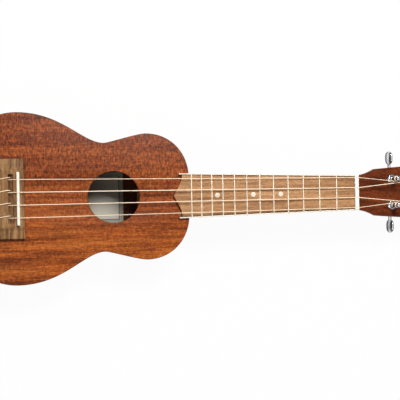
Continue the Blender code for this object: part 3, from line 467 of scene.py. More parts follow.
figure = ripple + streaks + 1
# Painted shade: the bass half darkened by its tint, over the real figure of ripples and streaks
colour.tint(half.blend(TREBLE_TINT, BASS_SHADE_TINT)).tint(figure).feed(shader, "Base Color")
soundboard = plate("soundboard_plate", [outline, hole], PLATE + EDGE_ROUND, EDGE_ROUND)
soundboard.data.transform(Matrix.Translation((0, 0, BODY_DEPTH - PLATE - EDGE_ROUND)))
smooth(soundboard)
dress(soundboard, top_finish, "body_wood", "root", "soundboard")
# Painted shade: a much darker wood on the rounded outer edge and the sound hole's wall, where these
# side-facing faces fall into shade
edge_shade_finish = wood_finish("painted_edge_shade", tone(64, 28, 13), tone(88, 42, 21), tone(112, 58, 31),
                          tone(48, 20, 9), 0.5, shift=5, fleck=0.3)
soundboard.data.materials.append(edge_shade_finish)
for face in soundboard.data.polygons:
    if SHADED_EDGE_FACING[0] < face.normal.z < SHADED_EDGE_FACING[1]:
        face.material_index = 1


# Neck and head: one length of dark mahogany, carved round behind, with a heel
# against the body and a flat head that leans back and carries the tuners.

BOARD_NUT = 0.0372
BOARD_BODY = 0.0460
NECK_END = 0.1750
NECK_DEPTH_NUT = 0.0145
NECK_DEPTH_BODY = 0.0165
NECK_EDGE = 0.003
HEEL_LENGTH = 0.038
HEEL_DEPTH = 0.057
HEEL_CURVE = 2.4
NUT_THICKNESS = 0.0045
HEAD_TILT = math.radians(13)
HEAD_LENGTH = 0.105
HEAD_THICKNESS = 0.012
FLARE_LENGTH = 0.0205
FLARE_CURVE = 1.75
FLARE_WIDTH = 0.0496
FULL_EDGE_AT = 0.036
TIP_WIDTH = 0.0606
CORNER_ROUND = 0.006
TIP_CROWN = 0.004
NECK_RINGS = 28
FLARE_RINGS = 14
EDGE_RINGS = 8
CORNER_RINGS = 10
COLUMNS = 24
POST_PLACES = {"g": (0.0415, 0.0140), "c": (0.0795, 0.0160),
               "e": (0.0795, -0.0160), "a": (0.0415, -0.0140)}
POST_BORE = 0.0043
head_frame = (Matrix.Translation((NUT_EDGE + NUT_THICKNESS, 0, BODY_DEPTH))
              @ Matrix.Rotation(HEAD_TILT, 4, "Y"))
head_corner = HEAD_LENGTH - TIP_CROWN - CORNER_ROUND
tuner_frames = {string: head_frame @ Matrix.Translation((along, across, 0))
                for string, (along, across) in POST_PLACES.items()}


def board_half(station):
    """Half width of the neck and the bound fingerboard at a distance from the nut."""
    return (BOARD_NUT + (BOARD_BODY - BOARD_NUT) * station / NECK_END) / 2


def head_half(along):
    if along <= FLARE_LENGTH:
        return BOARD_NUT / 2 + (FLARE_WIDTH - BOARD_NUT) / 2 * (along / FLARE_LENGTH) ** FLARE_CURVE
    share = (min(along, head_corner) - FLARE_LENGTH) / (head_corner - FLARE_LENGTH)
    half = FLARE_WIDTH / 2 + share * (TIP_WIDTH - FLARE_WIDTH) / 2
    past = max(0.0, along - head_corner)
    return half - CORNER_ROUND + math.sqrt(max(0.0, CORNER_ROUND ** 2 - past ** 2))


def rod(name, radius, start, end, sides=32):
    """A cylinder from one point to another."""
    start = Vector(start)
    run = Vector(end) - start
    clear_selection()
    bpy.ops.mesh.primitive_cylinder_add(vertices=sides, radius=radius, depth=run.length,
                                        location=start + run / 2,
                                        rotation=run.to_track_quat("Z", "Y").to_euler())
    made = bpy.context.object
    made.name = name
    bpy.ops.object.transform_apply(location=True, rotation=True, scale=True)
    return made


def combine(piece, tool, operation="DIFFERENCE"):
    """Cut a tool out of a piece, or join it on, and drop the tool."""
    apply_modifier(piece, "BOOLEAN", operation=operation, object=tool, solver="EXACT")
    bpy.data.objects.remove(tool)


sections = []
for i in range(NECK_RINGS + 1):
    station = NECK_END * (1 - i / NECK_RINGS)
    depth = NECK_DEPTH_NUT + (NECK_DEPTH_BODY - NECK_DEPTH_NUT) * station / NECK_END
    rise = max(0.0, (station - NECK_END + HEEL_LENGTH) / HEEL_LENGTH) ** HEEL_CURVE
    sections.append((Matrix.Translation((NUT_EDGE - station, 0, BODY_DEPTH)), board_half(station),
                     depth + rise * (HEEL_DEPTH - depth), NECK_EDGE, 0.0))
head_places = [FLARE_LENGTH * i / FLARE_RINGS for i in range(FLARE_RINGS + 1)]
head_places += [FLARE_LENGTH + (FULL_EDGE_AT - FLARE_LENGTH) * i / EDGE_RINGS
                for i in range(1, EDGE_RINGS + 1)]
head_places += [head_corner + CORNER_ROUND * math.sin(math.pi / 2 * i / CORNER_RINGS)
                for i in range(CORNER_RINGS + 1)]
for along in head_places:
    share = min(1.0, along / FULL_EDGE_AT)
    squared = min(1.0, max(0.0, (along - FLARE_LENGTH) / (FULL_EDGE_AT - FLARE_LENGTH)))
    sections.append((head_frame @ Matrix.Translation((along, 0, 0)), head_half(along),
                     NECK_DEPTH_NUT + share * (HEAD_THICKNESS - NECK_DEPTH_NUT),
                     NECK_EDGE + squared * (HEAD_THICKNESS - NECK_EDGE),
                     TIP_CROWN * max(0.0, (along - head_corner) / CORNER_ROUND)))
section_loop = [(column, False) for column in range(COLUMNS + 1)]
section_loop += [(column, True) for column in range(COLUMNS, -1, -1)] + [(0, False)]
rings = [0, *range(len(sections)), len(sections) - 1]
clear_selection()
bpy.ops.mesh.primitive_grid_add(x_subdivisions=len(rings) - 1, y_subdivisions=len(section_loop) - 1,
                                size=1)
neck = bpy.context.object
neck.name = "neck_and_head"
for vertex in neck.data.vertices:
    ring = round((vertex.co.x + 0.5) * (len(rings) - 1))
    column, underside = section_loop[round((vertex.co.y + 0.5) * (len(section_loop) - 1))]
    place, half, depth, edge, crown = sections[rings[ring]]
    across = -math.cos(math.pi * column / COLUMNS)
    below = edge + (depth - edge) * math.sqrt(max(0.0, 1 - across * across))
    if ring in (0, len(rings) - 1):
        below = below / 2 if 0 < column < COLUMNS else 0.0
    elif not underside:
        below = 0.0
    vertex.co = place @ Vector((crown * (1 - across * across), half * across, -below))
merge_seams(neck)
for place in tuner_frames.values():
    hole_ends = [place @ Vector((0, 0, level)) for level in (-2 * HEAD_THICKNESS, HEAD_THICKNESS)]
    combine(neck, rod("tuner_hole", POST_BORE, *hole_ends))
neck_finish = wood_finish("neck_mahogany", tone(66, 25, 9), tone(99, 43, 17), tone(130, 62, 28),
                          tone(52, 22, 10), 0.38, shift=33, ribbon=(9, 130, 130), fleck=0.4)
smooth(neck)
dress(neck, neck_finish, "neck_wood", "root", "neck")


# Fingerboard: a thin walnut board glued along the neck and over the top of
# the body, sawn there to a bracket-shaped end.

BOARD_TOP = 0.0643
BINDING_WIDTH = 0.0012
BOARD_CORNER = 0.1827
BRACKET_LENGTH = 0.0086
SEAM = 0.0003
BOARD_EDGE = 0.0002
CORNER_BEND = 0.38
POINT_REACH = 0.33
POINT_SPREAD = 0.30
# A dark line along the board's edge beside the binding: partly a glue line, partly painted shade of the
# seam
GLUE_LINE = 0.0007
GLUE_FADE = 0.0005
GLUE_AND_SHADE_DEPTH = 0.75
board_thickness = BOARD_TOP - BODY_DEPTH
corner_half = board_half(BOARD_CORNER) - BINDING_WIDTH - SEAM
bass_edge = [((NUT_EDGE, board_half(0) - BINDING_WIDTH - SEAM), (0, 0), (0, 0)),
             ((NUT_EDGE - BOARD_CORNER, corner_half), (0, 0), (0, -CORNER_BEND * corner_half)),
             ((NUT_EDGE - BOARD_CORNER - BRACKET_LENGTH, 0),
              (POINT_REACH * BRACKET_LENGTH, POINT_SPREAD * corner_half),
              (POINT_REACH * BRACKET_LENGTH, -POINT_SPREAD * corner_half))]
board = plate("fingerboard_plate", [bass_edge + mirrored(bass_edge[:2])], board_thickness, BOARD_EDGE)
board.data.transform(Matrix.Translation((0, 0, BODY_DEPTH)))
smooth(board, 25)
board_finish = wood_finish("board_walnut", tone(134, 92, 60), tone(177, 131, 89), tone(205, 158, 112),
                           tone(104, 69, 44), 0.52, shift=51, ribbon=(8, 190, 190), fleck=0.3)
shader, colour, at = drawn_over(board_finish)
along = at.node("ShaderNodeSeparateXYZ", None, {"Vector": at}, out="X")
across = at.node("ShaderNodeSeparateXYZ", None, {"Vector": at}, out="Y")
taper = (BOARD_BODY - BOARD_NUT) / (2 * NECK_END)
past_edge = across.math("ABSOLUTE", across, 0) + along * taper - (board_half(NUT_EDGE) - BINDING_WIDTH)
glue_and_shade_line = past_edge.step(-GLUE_LINE - GLUE_FADE, -GLUE_LINE) * GLUE_AND_SHADE_DEPTH
glue_and_shade_line.blend(colour, tone(70, 46, 30)).feed(shader, "Base Color")
dress(board, board_finish, "board_wood", "root", "fingerboard")


# Bindings: two strips of cream plastic glued along the edges of the
# fingerboard and scraped flush, ending just past its corners.

BINDING_END = 0.1858
BINDING_EASE = 0.00025
CLOUD_SCALE = (90, 160, 160)
SCRATCH_SCALE = (240, 5200, 5200)
SCRATCH_RELIEF = 0.0001


def block(name, low, high):
    """A cube that fills the box between two corners."""
    low = Vector(low)
    high = Vector(high)
    clear_selection()
    bpy.ops.mesh.primitive_cube_add(size=1, location=(low + high) / 2, scale=high - low)
    made = bpy.context.object
    made.name = name
    bpy.ops.object.transform_apply(location=True, rotation=True, scale=True)
    return made


def ease(piece, width, segments=2, above=30):
    """Round every edge sharper than an angle."""
    apply_modifier(piece, "BEVEL", width=width, segments=segments, limit_method="ANGLE",
                   angle_limit=math.radians(above))


def plastic_finish(name, deep, pale, roughness):
    """Cast plastic: faint clouds and fine scratches from polishing."""
    finish, shader, at = begin_finish(name)
    clouds = at.noise(CLOUD_SCALE, 3)
    scratches = at.noise(SCRATCH_SCALE, 2, 6)
    clouds.step(0.3, 0.7).blend(deep, pale).feed(shader, "Base Color")
    (roughness + clouds * 0.10 + scratches * 0.10).feed(shader, "Roughness")
    scratches.node("ShaderNodeBump", None,
                   {"Strength": 0.06, "Distance": SCRATCH_RELIEF, "Height": scratches}
                   ).feed(shader, "Normal")
    return finish


binding_finish = plastic_finish("binding_cream", tone(240, 222, 200), tone(250, 238, 222), 0.30)
for side, sign in (("bass", 1), ("treble", -1)):
    strip = block(f"binding_{side}_strip", (NUT_EDGE - BINDING_END, 0, BODY_DEPTH),
                  (NUT_EDGE, 1, BOARD_TOP))
    for vertex in strip.data.vertices:
        inner = vertex.co.y < 0.5
        vertex.co.y = sign * (board_half(NUT_EDGE - vertex.co.x) - (BINDING_WIDTH if inner else 0))
    merge_seams(strip)
    ease(strip, BINDING_EASE)
    smooth(strip)
    dress(strip, binding_finish, "cream_plastic", "root", f"binding_{side}")


# Position dots: three plugs of cream plastic pressed into the fingerboard
# between the frets and sanded flush.

SCALE_LENGTH = 0.346
DOT_SPACES = (5, 7, 10)
DOT_RADIUS = 0.0025
DOT_DEPTH = 0.001
DOT_PROUD = 0.00006
DOT_EASE = 0.00005


def fret_station(number):
    return SCALE_LENGTH * (1 - 2 ** (-number / 12))


def copy_of(piece, name, place):
    """The same shape again, with a mesh of its own, at a place."""
    made = bpy.data.objects.new(name, piece.data.copy())
    bpy.context.scene.collection.objects.link(made)
    made.data.transform(place)
    return made


dot_finish = plastic_finish("dot_cream", tone(222, 204, 180), tone(240, 228, 208), 0.28)
plug = rod("dot_plug", DOT_RADIUS, (0, 0, -DOT_DEPTH), (0, 0, DOT_PROUD), 40)
ease(plug, DOT_EASE)
smooth(plug)
for space in DOT_SPACES:
    middle = NUT_EDGE - (fret_station(space - 1) + fret_station(space)) / 2
    dot = copy_of(plug, f"dot_{space:02d}", Matrix.Translation((middle, 0, BOARD_TOP)))
    dress(dot, dot_finish, "cream_plastic", "root", f"position_dot_{space:02d}")
bpy.data.objects.remove(plug)


# Frets: twelve lengths of nickel silver wire with a rounded crown, hammered
# into saw cuts across the fingerboard, their ends filed to a slope.

FRET_COUNT = 12
FRET_WIDTH = 0.0018
FRET_TOP = 0.0653
FRET_END_INSET = 0.0004
FRET_END_SLOPE = 0.6
FILM_SCALE = (140, 140, 140)
MARK_SCALE = (900, 2600, 900)


def metal_finish(name, dull, bright, roughness, scratch):
    """Plated or drawn metal: faint clouds of tarnish, finger marks and fine scratches."""
    finish, shader, at = begin_finish(name)
    film = at.noise(FILM_SCALE, 3)
    marks = at.noise(MARK_SCALE, 2, 4)
    film.step(0.3, 0.7).blend(dull, bright).feed(shader, "Base Color")
    (roughness + film.step(0.45, 0.75) * 0.07 + marks * scratch).feed(shader, "Roughness")
    marks.node("ShaderNodeBump", None,
               {"Strength": scratch * 0.4, "Distance": SCRATCH_RELIEF, "Height": marks}
               ).feed(shader, "Normal")
    shader.inputs["Metallic"].default_value = 1.0
    return finish


fret_finish = metal_finish("nickel_silver", tone(240, 228, 206), tone(255, 246, 228), 0.40, 0.10)
wire = rod("fret_wire", 1, (0, -0.5, 0), (0, 0.5, 0), 32)
bpy.ops.object.mode_set(mode="EDIT")
bpy.ops.mesh.select_all(action="SELECT")
bpy.ops.mesh.bisect(plane_co=(0, 0, 0), plane_no=(0, 0, 1), use_fill=True, clear_inner=True)
bpy.ops.object.mode_set(mode="OBJECT")
for number in range(1, FRET_COUNT + 1):
    station = fret_station(number)
    width = 2 * (board_half(station) - FRET_END_INSET)
    fret = copy_of(wire, f"fret_{number:02d}_wire",
                   Matrix.Diagonal((FRET_WIDTH / 2, width, FRET_TOP - BOARD_TOP, 1)))
    for vertex in fret.data.vertices:
        vertex.co.y -= math.copysign(FRET_END_SLOPE * vertex.co.z, vertex.co.y)
    fret.data.transform(Matrix.Translation((NUT_EDGE - station, 0, BOARD_TOP)))
    merge_seams(fret)
    smooth(fret, 50)
    dress(fret, fret_finish, "fret_wire", "root", f"fret_{number:02d}")
bpy.data.objects.remove(wire)


# Nut: a bar of white plastic glued across the end of the fingerboard, its top
# rounded towards the head and filed with a slot for each string.

STRING_DIAMETERS = {"g": 0.00066, "c": 0.00091, "e": 0.00081, "a": 0.00066}
SPACING_NUT = 0.0105
SPACING_SADDLE = 0.01295
SADDLE_AT = 0.3494
ACTION_NUT = 0.0005
ACTION_RISE = 0.0021 / 0.173
NUT_TOP = 0.0670
NUT_BACK_DROP = 0.0007
NUT_EASE = 0.0006
SLOT_OVERRUN = 0.001
SLOT_HEIGHT = 0.003
CLEAR = 0.0001


def string_across(index, station):
    """How far a string lies from the centre line; the first string is on the bass side."""
    return (1.5 - index) * (SPACING_NUT + (SPACING_SADDLE - SPACING_NUT) * station / SADDLE_AT)


def string_under(station):
    return FRET_TOP + ACTION_NUT + ACTION_RISE * station


nut_half = BOARD_NUT / 2
nut_back = NUT_EDGE + NUT_THICKNESS
nut = block("nut_bar", (NUT_EDGE, -nut_half, BODY_DEPTH), (nut_back, nut_half, NUT_TOP))
for vertex in nut.data.vertices:
    if vertex.co.x > NUT_EDGE + NUT_THICKNESS / 2 and vertex.co.z > BOARD_TOP:
        vertex.co.z -= NUT_BACK_DROP
ease(nut, NUT_EASE, 4)
for index, diameter in enumerate(STRING_DIAMETERS.values()):
    across = string_across(index, 0)
    slot = rod("nut_slot", diameter / 2 + CLEAR, (NUT_EDGE - SLOT_OVERRUN, 0, 0),
               (nut_back + SLOT_OVERRUN, 0, 0), 20)
    for vertex in slot.data.vertices:
        if vertex.co.z > 0:
            vertex.co.z += SLOT_HEIGHT
    slot.data.transform(Matrix.Translation((0, across, string_under(0) + diameter / 2)))
    combine(nut, slot)
smooth(nut)
nut_finish = plastic_finish("nut_white", tone(246, 243, 232), tone(254, 253, 247), 0.30)
dress(nut, nut_finish, "cream_plastic", "root", "nut")


# Bridge: a bar of walnut glued to the soundboard, with a saddle slot, a
# channel behind it, and a tie block drilled for the four strings.

BRIDGE_HALF = 0.04075
BRIDGE_FRONT = 0.3435
RIDGE_BACK = 0.3543
BLOCK_FRONT = 0.3598
BLOCK_BACK = 0.3705
BRIDGE_TOP = 0.0675
WING_TOP = 0.0655
CHANNEL_FLOOR = 0.0627
CHANNEL_HALF = 0.025
CENTRE_HALF = 0.0285
WING_STEP = 0.0036
HOLE_LEVEL = 0.0649
STRING_HOLE = 0.0009
SADDLE_HALF = 0.02725
SADDLE_THICKNESS = 0.003
SADDLE_FLOOR = 0.0640
BRIDGE_EASE = 0.0008
INNER_EASE = 0.00018
HOLE_OVERRUN = 0.002
ABOVE = 0.01

bridge = block("bridge_bar", (NUT_EDGE - BLOCK_BACK, -BRIDGE_HALF, BODY_DEPTH),
               (NUT_EDGE - BRIDGE_FRONT, BRIDGE_HALF, BRIDGE_TOP))
bpy.ops.object.mode_set(mode="EDIT")
for across in (-CENTRE_HALF - WING_STEP, -CENTRE_HALF, CENTRE_HALF, CENTRE_HALF + WING_STEP):
    bpy.ops.mesh.select_all(action="SELECT")
    bpy.ops.mesh.bisect(plane_co=(0, across, 0), plane_no=(0, 1, 0))
bpy.ops.object.mode_set(mode="OBJECT")
for vertex in bridge.data.vertices:
    if abs(vertex.co.y) > CENTRE_HALF + WING_STEP / 2 and vertex.co.z > WING_TOP:
        vertex.co.z = WING_TOP
ease(bridge, BRIDGE_EASE, 3, 15)
channel = block("channel", (NUT_EDGE - BLOCK_FRONT, -CHANNEL_HALF, CHANNEL_FLOOR),
                (NUT_EDGE - RIDGE_BACK, CHANNEL_HALF, BRIDGE_TOP + ABOVE))
combine(bridge, channel)
saddle_x = NUT_EDGE - SADDLE_AT
saddle_slot = block("saddle_slot",
                    (saddle_x - SADDLE_THICKNESS / 2 - CLEAR, -SADDLE_HALF - CLEAR, SADDLE_FLOOR),
                    (saddle_x + SADDLE_THICKNESS / 2 + CLEAR, SADDLE_HALF + CLEAR, BRIDGE_TOP + ABOVE))
combine(bridge, saddle_slot)
for index in range(len(STRING_DIAMETERS)):
    across = string_across(index, SADDLE_AT)
    combine(bridge, rod("string_hole", STRING_HOLE,
                        (NUT_EDGE - BLOCK_FRONT + HOLE_OVERRUN, across, HOLE_LEVEL),
                        (NUT_EDGE - BLOCK_BACK - HOLE_OVERRUN, across, HOLE_LEVEL), 20))
merge_seams(bridge)
ease(bridge, INNER_EASE, 2, 50)
smooth(bridge)
bridge_finish = wood_finish("bridge_walnut", tone(84, 56, 34), tone(137, 98, 61), tone(178, 138, 92),
                            tone(70, 44, 26), 0.55, turn=math.pi / 2, shift=67, ribbon=(10, 260, 260),
                            fleck=0.2)
dress(bridge, bridge_finish, "bridge_wood", "root", "bridge")


# Saddle: a strip of white plastic standing in the bridge's slot, its top
# rounded where the four strings bear on it.

SADDLE_EASE = 0.0010
saddle = block("saddle_strip", (saddle_x - SADDLE_THICKNESS / 2, -SADDLE_HALF, SADDLE_FLOOR + CLEAR),
               (saddle_x + SADDLE_THICKNESS / 2, SADDLE_HALF, string_under(SADDLE_AT) - CLEAR))
ease(saddle, SADDLE_EASE, 5)
smooth(saddle, 50)
saddle_finish = plastic_finish("saddle_bone", tone(242, 236, 218), tone(252, 248, 234), 0.30)
dress(saddle, saddle_finish, "cream_plastic", "root", "saddle")


# Tuner plates: stamped and chromed steel, with two lugs folded up to carry
# the key's shaft, each held to the back of the head by two screws.

PLATE_FRONT = -HEAD_THICKNESS
PLATE_BACK = -0.0133
KEY_OFFSET = 0.00705
KEY_LEVEL = -0.016685
SHAFT_RADIUS = 0.0017525
PLATE_LOW = -0.009475
PLATE_HIGH = 0.016525
PLATE_HALF = 0.005826
PLATE_CORNER = 0.003
LUG_INNER = 0.004726
LUG_OUTER = 0.005726
LUG_HALF = 0.0031
LUG_EASE = 0.00015
LUG_SUNK = 0.0005
BORE_REACH = 0.02
ARC_REACH = 0.55
SCREW_PLACES = (-0.0066, 0.0140)
SCREW_RADIUS = 0.0017
SCREW_HEIGHT = 0.0011
SCREW_TAPER = 0.8
SCREW_EASE = 0.0004
DRIVER_HALF = 0.0003
POST_RADIUS = 0.003
# Painted reflection: a grey laid into the chrome's colour by where its reflection points, from straight
# below (0) to straight above (1)
PAINTED_REFLECTION_BANDS = ((0.0, 0.08), (0.09, 0.10), (0.15, 1.0), (0.28, 1.0), (0.35, 0.10), (0.49, 0.30),
                (0.52, 1.0))


def rounded_corners(low, high, cut):
    """A rectangle's knots, with each corner rounded."""
    (x0, y0), (x1, y1) = low, high
    bend = ARC_REACH * cut
    return [((x0 + cut, y0), (-bend, 0), (0, 0)), ((x1 - cut, y0), (0, 0), (bend, 0)),
            ((x1, y0 + cut), (0, -bend), (0, 0)), ((x1, y1 - cut), (0, 0), (0, bend)),
            ((x1 - cut, y1), (bend, 0), (0, 0)), ((x0 + cut, y1), (0, 0), (-bend, 0)),
            ((x0, y1 - cut), (0, bend), (0, 0)), ((x0, y0 + cut), (0, 0), (0, -bend))]


def grey_stops(pairs):
    """A ramp's stops, from pairs of a place and a grey."""
    return [(place, (grey, grey, grey, 1)) for place, grey in pairs]


plate_view = rounded_corners((PLATE_LOW, -PLATE_HALF), (PLATE_HIGH, PLATE_HALF), PLATE_CORNER)
steel = plate("tuner_plate", [plate_view], PLATE_FRONT - PLATE_BACK, LUG_EASE, 8)
steel.data.transform(Matrix.Translation((0, 0, PLATE_BACK)))
bpy.ops.object.mode_set(mode="EDIT")
bpy.ops.mesh.select_all(action="SELECT")
bpy.ops.mesh.dissolve_limited(angle_limit=math.radians(1))
bpy.ops.object.mode_set(mode="OBJECT")
arch = ARC_REACH * LUG_HALF
lug_foot = PLATE_BACK + LUG_SUNK
lug_view = [((-LUG_HALF, -lug_foot), (0, 0), (0, 0)), ((LUG_HALF, -lug_foot), (0, 0), (0, 0)),
            ((LUG_HALF, -KEY_LEVEL), (0, 0), (0, arch)),
            ((0, LUG_HALF - KEY_LEVEL), (arch, 0), (-arch, 0)),
            ((-LUG_HALF, -KEY_LEVEL), (0, arch), (0, 0))]
for foot in (LUG_INNER, -LUG_OUTER):
    lug = plate("lug", [lug_view], LUG_OUTER - LUG_INNER, LUG_EASE, 10)
    lug.data.transform(Matrix.Translation((KEY_OFFSET, foot, 0)) @ Matrix.Rotation(-math.pi / 2, 4, "X"))
    combine(steel, lug, "UNION")
combine(steel, rod("shaft_bore", SHAFT_RADIUS + 2 * CLEAR, (KEY_OFFSET, -BORE_REACH, KEY_LEVEL),
                   (KEY_OFFSET, BORE_REACH, KEY_LEVEL)))
combine(steel, rod("post_bore", POST_RADIUS + 3 * CLEAR, (0, 0, 2 * PLATE_BACK), (0, 0, 0)))
merge_seams(steel)
smooth(steel)
screw = rod("screw_head", SCREW_RADIUS, (0, 0, PLATE_BACK - SCREW_HEIGHT), (0, 0, PLATE_BACK), 32)
for vertex in screw.data.vertices:
    if vertex.co.z < PLATE_BACK - SCREW_HEIGHT / 2:
        vertex.co.x *= SCREW_TAPER
        vertex.co.y *= SCREW_TAPER
ease(screw, SCREW_EASE, 4)
combine(screw, block("driver_slot", (-SCREW_RADIUS, -DRIVER_HALF, PLATE_BACK - 2 * SCREW_HEIGHT),
                     (SCREW_RADIUS, DRIVER_HALF, PLATE_BACK - 0.5 * SCREW_HEIGHT)))
smooth(screw)
chrome_finish = metal_finish("tuner_chrome", tone(206, 208, 212), tone(236, 238, 240), 0.07, 0.05)
shader, colour, at = drawn_over(chrome_finish)
# Painted reflection: dark and light studio bands multiplied into the chrome's colour by the reflected
# direction
aim = at.node("ShaderNodeTexCoord", out="Reflection")
level = aim.node("ShaderNodeSeparateXYZ", None, {"Vector": aim}, out="Z") * 0.5 + 0.5
bands = level.node("ShaderNodeValToRGB", {"stops": grey_stops(PAINTED_REFLECTION_BANDS)}, {"Fac": level})
colour.tint(bands).feed(shader, "Base Color")
for string, place in tuner_frames.items():
    base = copy_of(steel, f"tuner_{string}_plate", place)
    dress(base, chrome_finish, "tuner_chrome", "root", f"tuner_plate_{string}")
    for count, along in enumerate(SCREW_PLACES):
        angle = math.radians(25 + 70 * count + 40 * list(tuner_frames).index(string))
        fixed = copy_of(screw, f"tuner_{string}_screw_{count}",
                        place @ Matrix.Translation((along, 0, 0)) @ Matrix.Rotation(angle, 4, "Z"))
        dress(fixed, chrome_finish, "tuner_chrome", "root")
bpy.data.objects.remove(steel)


# Bushings: turned and chromed brass rings pressed into the face of the head,
# in which the posts turn.

FLANGE_RADIUS = 0.0052
BUSHING_RADIUS = 0.0041
BUSHING_DEPTH = 0.009
FLANGE_HEIGHT = 0.0015
FLANGE_SLOPE = 0.0010
FLANGE_RIM = 0.4 * FLANGE_HEIGHT
BUSHING_EASE = 0.0002
RUNNING = 0.00012


def lathe(name, profile, closed=False, sides=48):
    """A profile of radius and level, spun round the Z axis."""
    line = trace(name, [[(point, (0, 0), (0, 0)) for point in profile]], closed, 1)
    line.data.fill_mode = "NONE"
    made = to_mesh(line)
    made.data.transform(Matrix.Rotation(math.pi / 2, 4, "X"))
    bpy.ops.object.mode_set(mode="EDIT")
    bpy.ops.mesh.select_all(action="SELECT")
    bpy.ops.mesh.spin(steps=sides, angle=2 * math.pi, center=(0, 0, 0), axis=(0, 0, 1))
    bpy.ops.object.mode_set(mode="OBJECT")
    merge_seams(made)
    return made


bore = POST_RADIUS + RUNNING
ring = lathe("bushing", [(bore, -BUSHING_DEPTH), (BUSHING_RADIUS, -BUSHING_DEPTH), (BUSHING_RADIUS, 0),
                         (FLANGE_RADIUS, 0), (FLANGE_RADIUS, FLANGE_RIM),
                         (FLANGE_RADIUS - FLANGE_SLOPE, FLANGE_HEIGHT), (bore, FLANGE_HEIGHT)], True)
ease(ring, BUSHING_EASE, 3, 20)
smooth(ring)
for string, place in tuner_frames.items():
    bushing = copy_of(ring, f"tuner_{string}_bushing", place)
    dress(bushing, chrome_finish, "tuner_chrome", "root", f"tuner_bushing_{string}")
bpy.data.objects.remove(ring)


# Posts: turned and chromed brass, waisted for the string and drilled across,
# with a worm wheel pressed on behind the plate and held by a small screw.

POST_HEIGHT = 0.0165
POST_WAIST = 0.0021
POST_SHOULDER = 0.0018
WAIST_LOW = 0.0026
CAP_LOW = 0.0145
CAP_RADIUS = 0.0029
CAP_RISE = 0.0005
CAP_SLOPE = 0.0006
POST_EASE = 0.00018
POST_HOLE_LEVEL = 0.0122
POST_HOLE_RADIUS = 0.001
COLLAR_RADIUS = 0.0036
COLLAR_GAP = 0.0003
HUB_RADIUS = 0.0021
HUB_DROP = 0.0006
WHEEL_TEETH = 14
WHEEL_RADIUS = 0.00455
TOOTH_RISE = 0.000585
TOOTH_DEPTH = 0.0007475
WHEEL_FACE = 0.0034
TOOTH_EASE = 0.00008
TOOTH_PHASE = 0.25
GEAR_MODULE = 0.00065
THREAD_PITCH = math.pi * GEAR_MODULE
PRESSURE_ANGLE = math.radians(20)
BACKLASH = 0.00022
WORM_RADIUS = 0.0025


def thread_width(above):
    """Width of a thread or a tooth at a height above its pitch line."""
    return THREAD_PITCH / 2 - BACKLASH - 2 * above * math.tan(PRESSURE_ANGLE)


wheel_low = KEY_LEVEL - WHEEL_FACE / 2
hub_end = wheel_low - HUB_DROP
collar_end = PLATE_BACK - COLLAR_GAP
spindle = lathe("post", [(0, hub_end), (HUB_RADIUS, hub_end), (HUB_RADIUS, KEY_LEVEL),
                         (COLLAR_RADIUS, KEY_LEVEL), (COLLAR_RADIUS, collar_end),
                         (POST_RADIUS, collar_end), (POST_RADIUS, POST_SHOULDER),
                         (POST_WAIST, WAIST_LOW), (POST_WAIST, CAP_LOW), (CAP_RADIUS, CAP_LOW + CAP_RISE),
                         (CAP_RADIUS, POST_HEIGHT - CAP_RISE), (CAP_RADIUS - CAP_SLOPE, POST_HEIGHT),
                         (0, POST_HEIGHT)])
ease(spindle, POST_EASE, 2, 25)
teeth = []
for i in range(WHEEL_TEETH):
    for side, above in ((-1, -TOOTH_DEPTH), (-1, TOOTH_RISE), (1, TOOTH_RISE), (1, -TOOTH_DEPTH)):
        radius = WHEEL_RADIUS + above
        angle = (i + TOOTH_PHASE) * 2 * math.pi / WHEEL_TEETH + side * thread_width(above) / 2 / radius
        teeth.append(((radius * math.cos(angle), radius * math.sin(angle)), (0, 0), (0, 0)))
wheel = plate("wheel", [teeth], WHEEL_FACE, TOOTH_EASE, 1)
lean = THREAD_PITCH / (2 * math.pi * WORM_RADIUS) / WHEEL_RADIUS
for vertex in wheel.data.vertices:
    level = vertex.co.z - WHEEL_FACE / 2
    raised = Vector((vertex.co.x, vertex.co.y, KEY_LEVEL + level))
    vertex.co = Matrix.Rotation(lean * level, 4, "Z") @ raised
combine(spindle, wheel, "UNION")
combine(spindle, rod("post_hole", POST_HOLE_RADIUS, (-POST_RADIUS, 0, POST_HOLE_LEVEL),
                     (POST_RADIUS, 0, POST_HOLE_LEVEL), 24))
merge_seams(spindle)
smooth(spindle)
screw_drop = Matrix.Translation((0, 0, hub_end - PLATE_BACK))
for string, place in tuner_frames.items():
    post = copy_of(spindle, f"tuner_{string}_post", place)
    dress(post, chrome_finish, "tuner_chrome", f"post_{string}", f"tuner_post_{string}")
    held = copy_of(screw, f"tuner_{string}_wheel_screw", place @ screw_drop)
    dress(held, chrome_finish, "tuner_chrome", f"post_{string}")
bpy.data.objects.remove(spindle)
bpy.data.objects.remove(screw)


# Keys: a cut worm and shaft of chromed steel with a cast oval button pressed
# on its end, turning in the plate's lugs.

WORM_LOW = -0.004246
WORM_TURNS = 3
THREAD_SUNK = 0.0002
THREAD_STEPS = 40
SHAFT_TAIL = -0.006026
SHAFT_EASE = 0.0002
HEAD_CLEARANCE = 0.003
BUTTON_LENGTH = 0.0145
BUTTON_THICK = 0.0048
BUTTON_WIDE = 0.0132
BUTTON_RINGS = 28
BUTTON_GRIP = 0.0005
BUTTON_SWELL = 3.2
BUTTON_SQUARE = 0.95

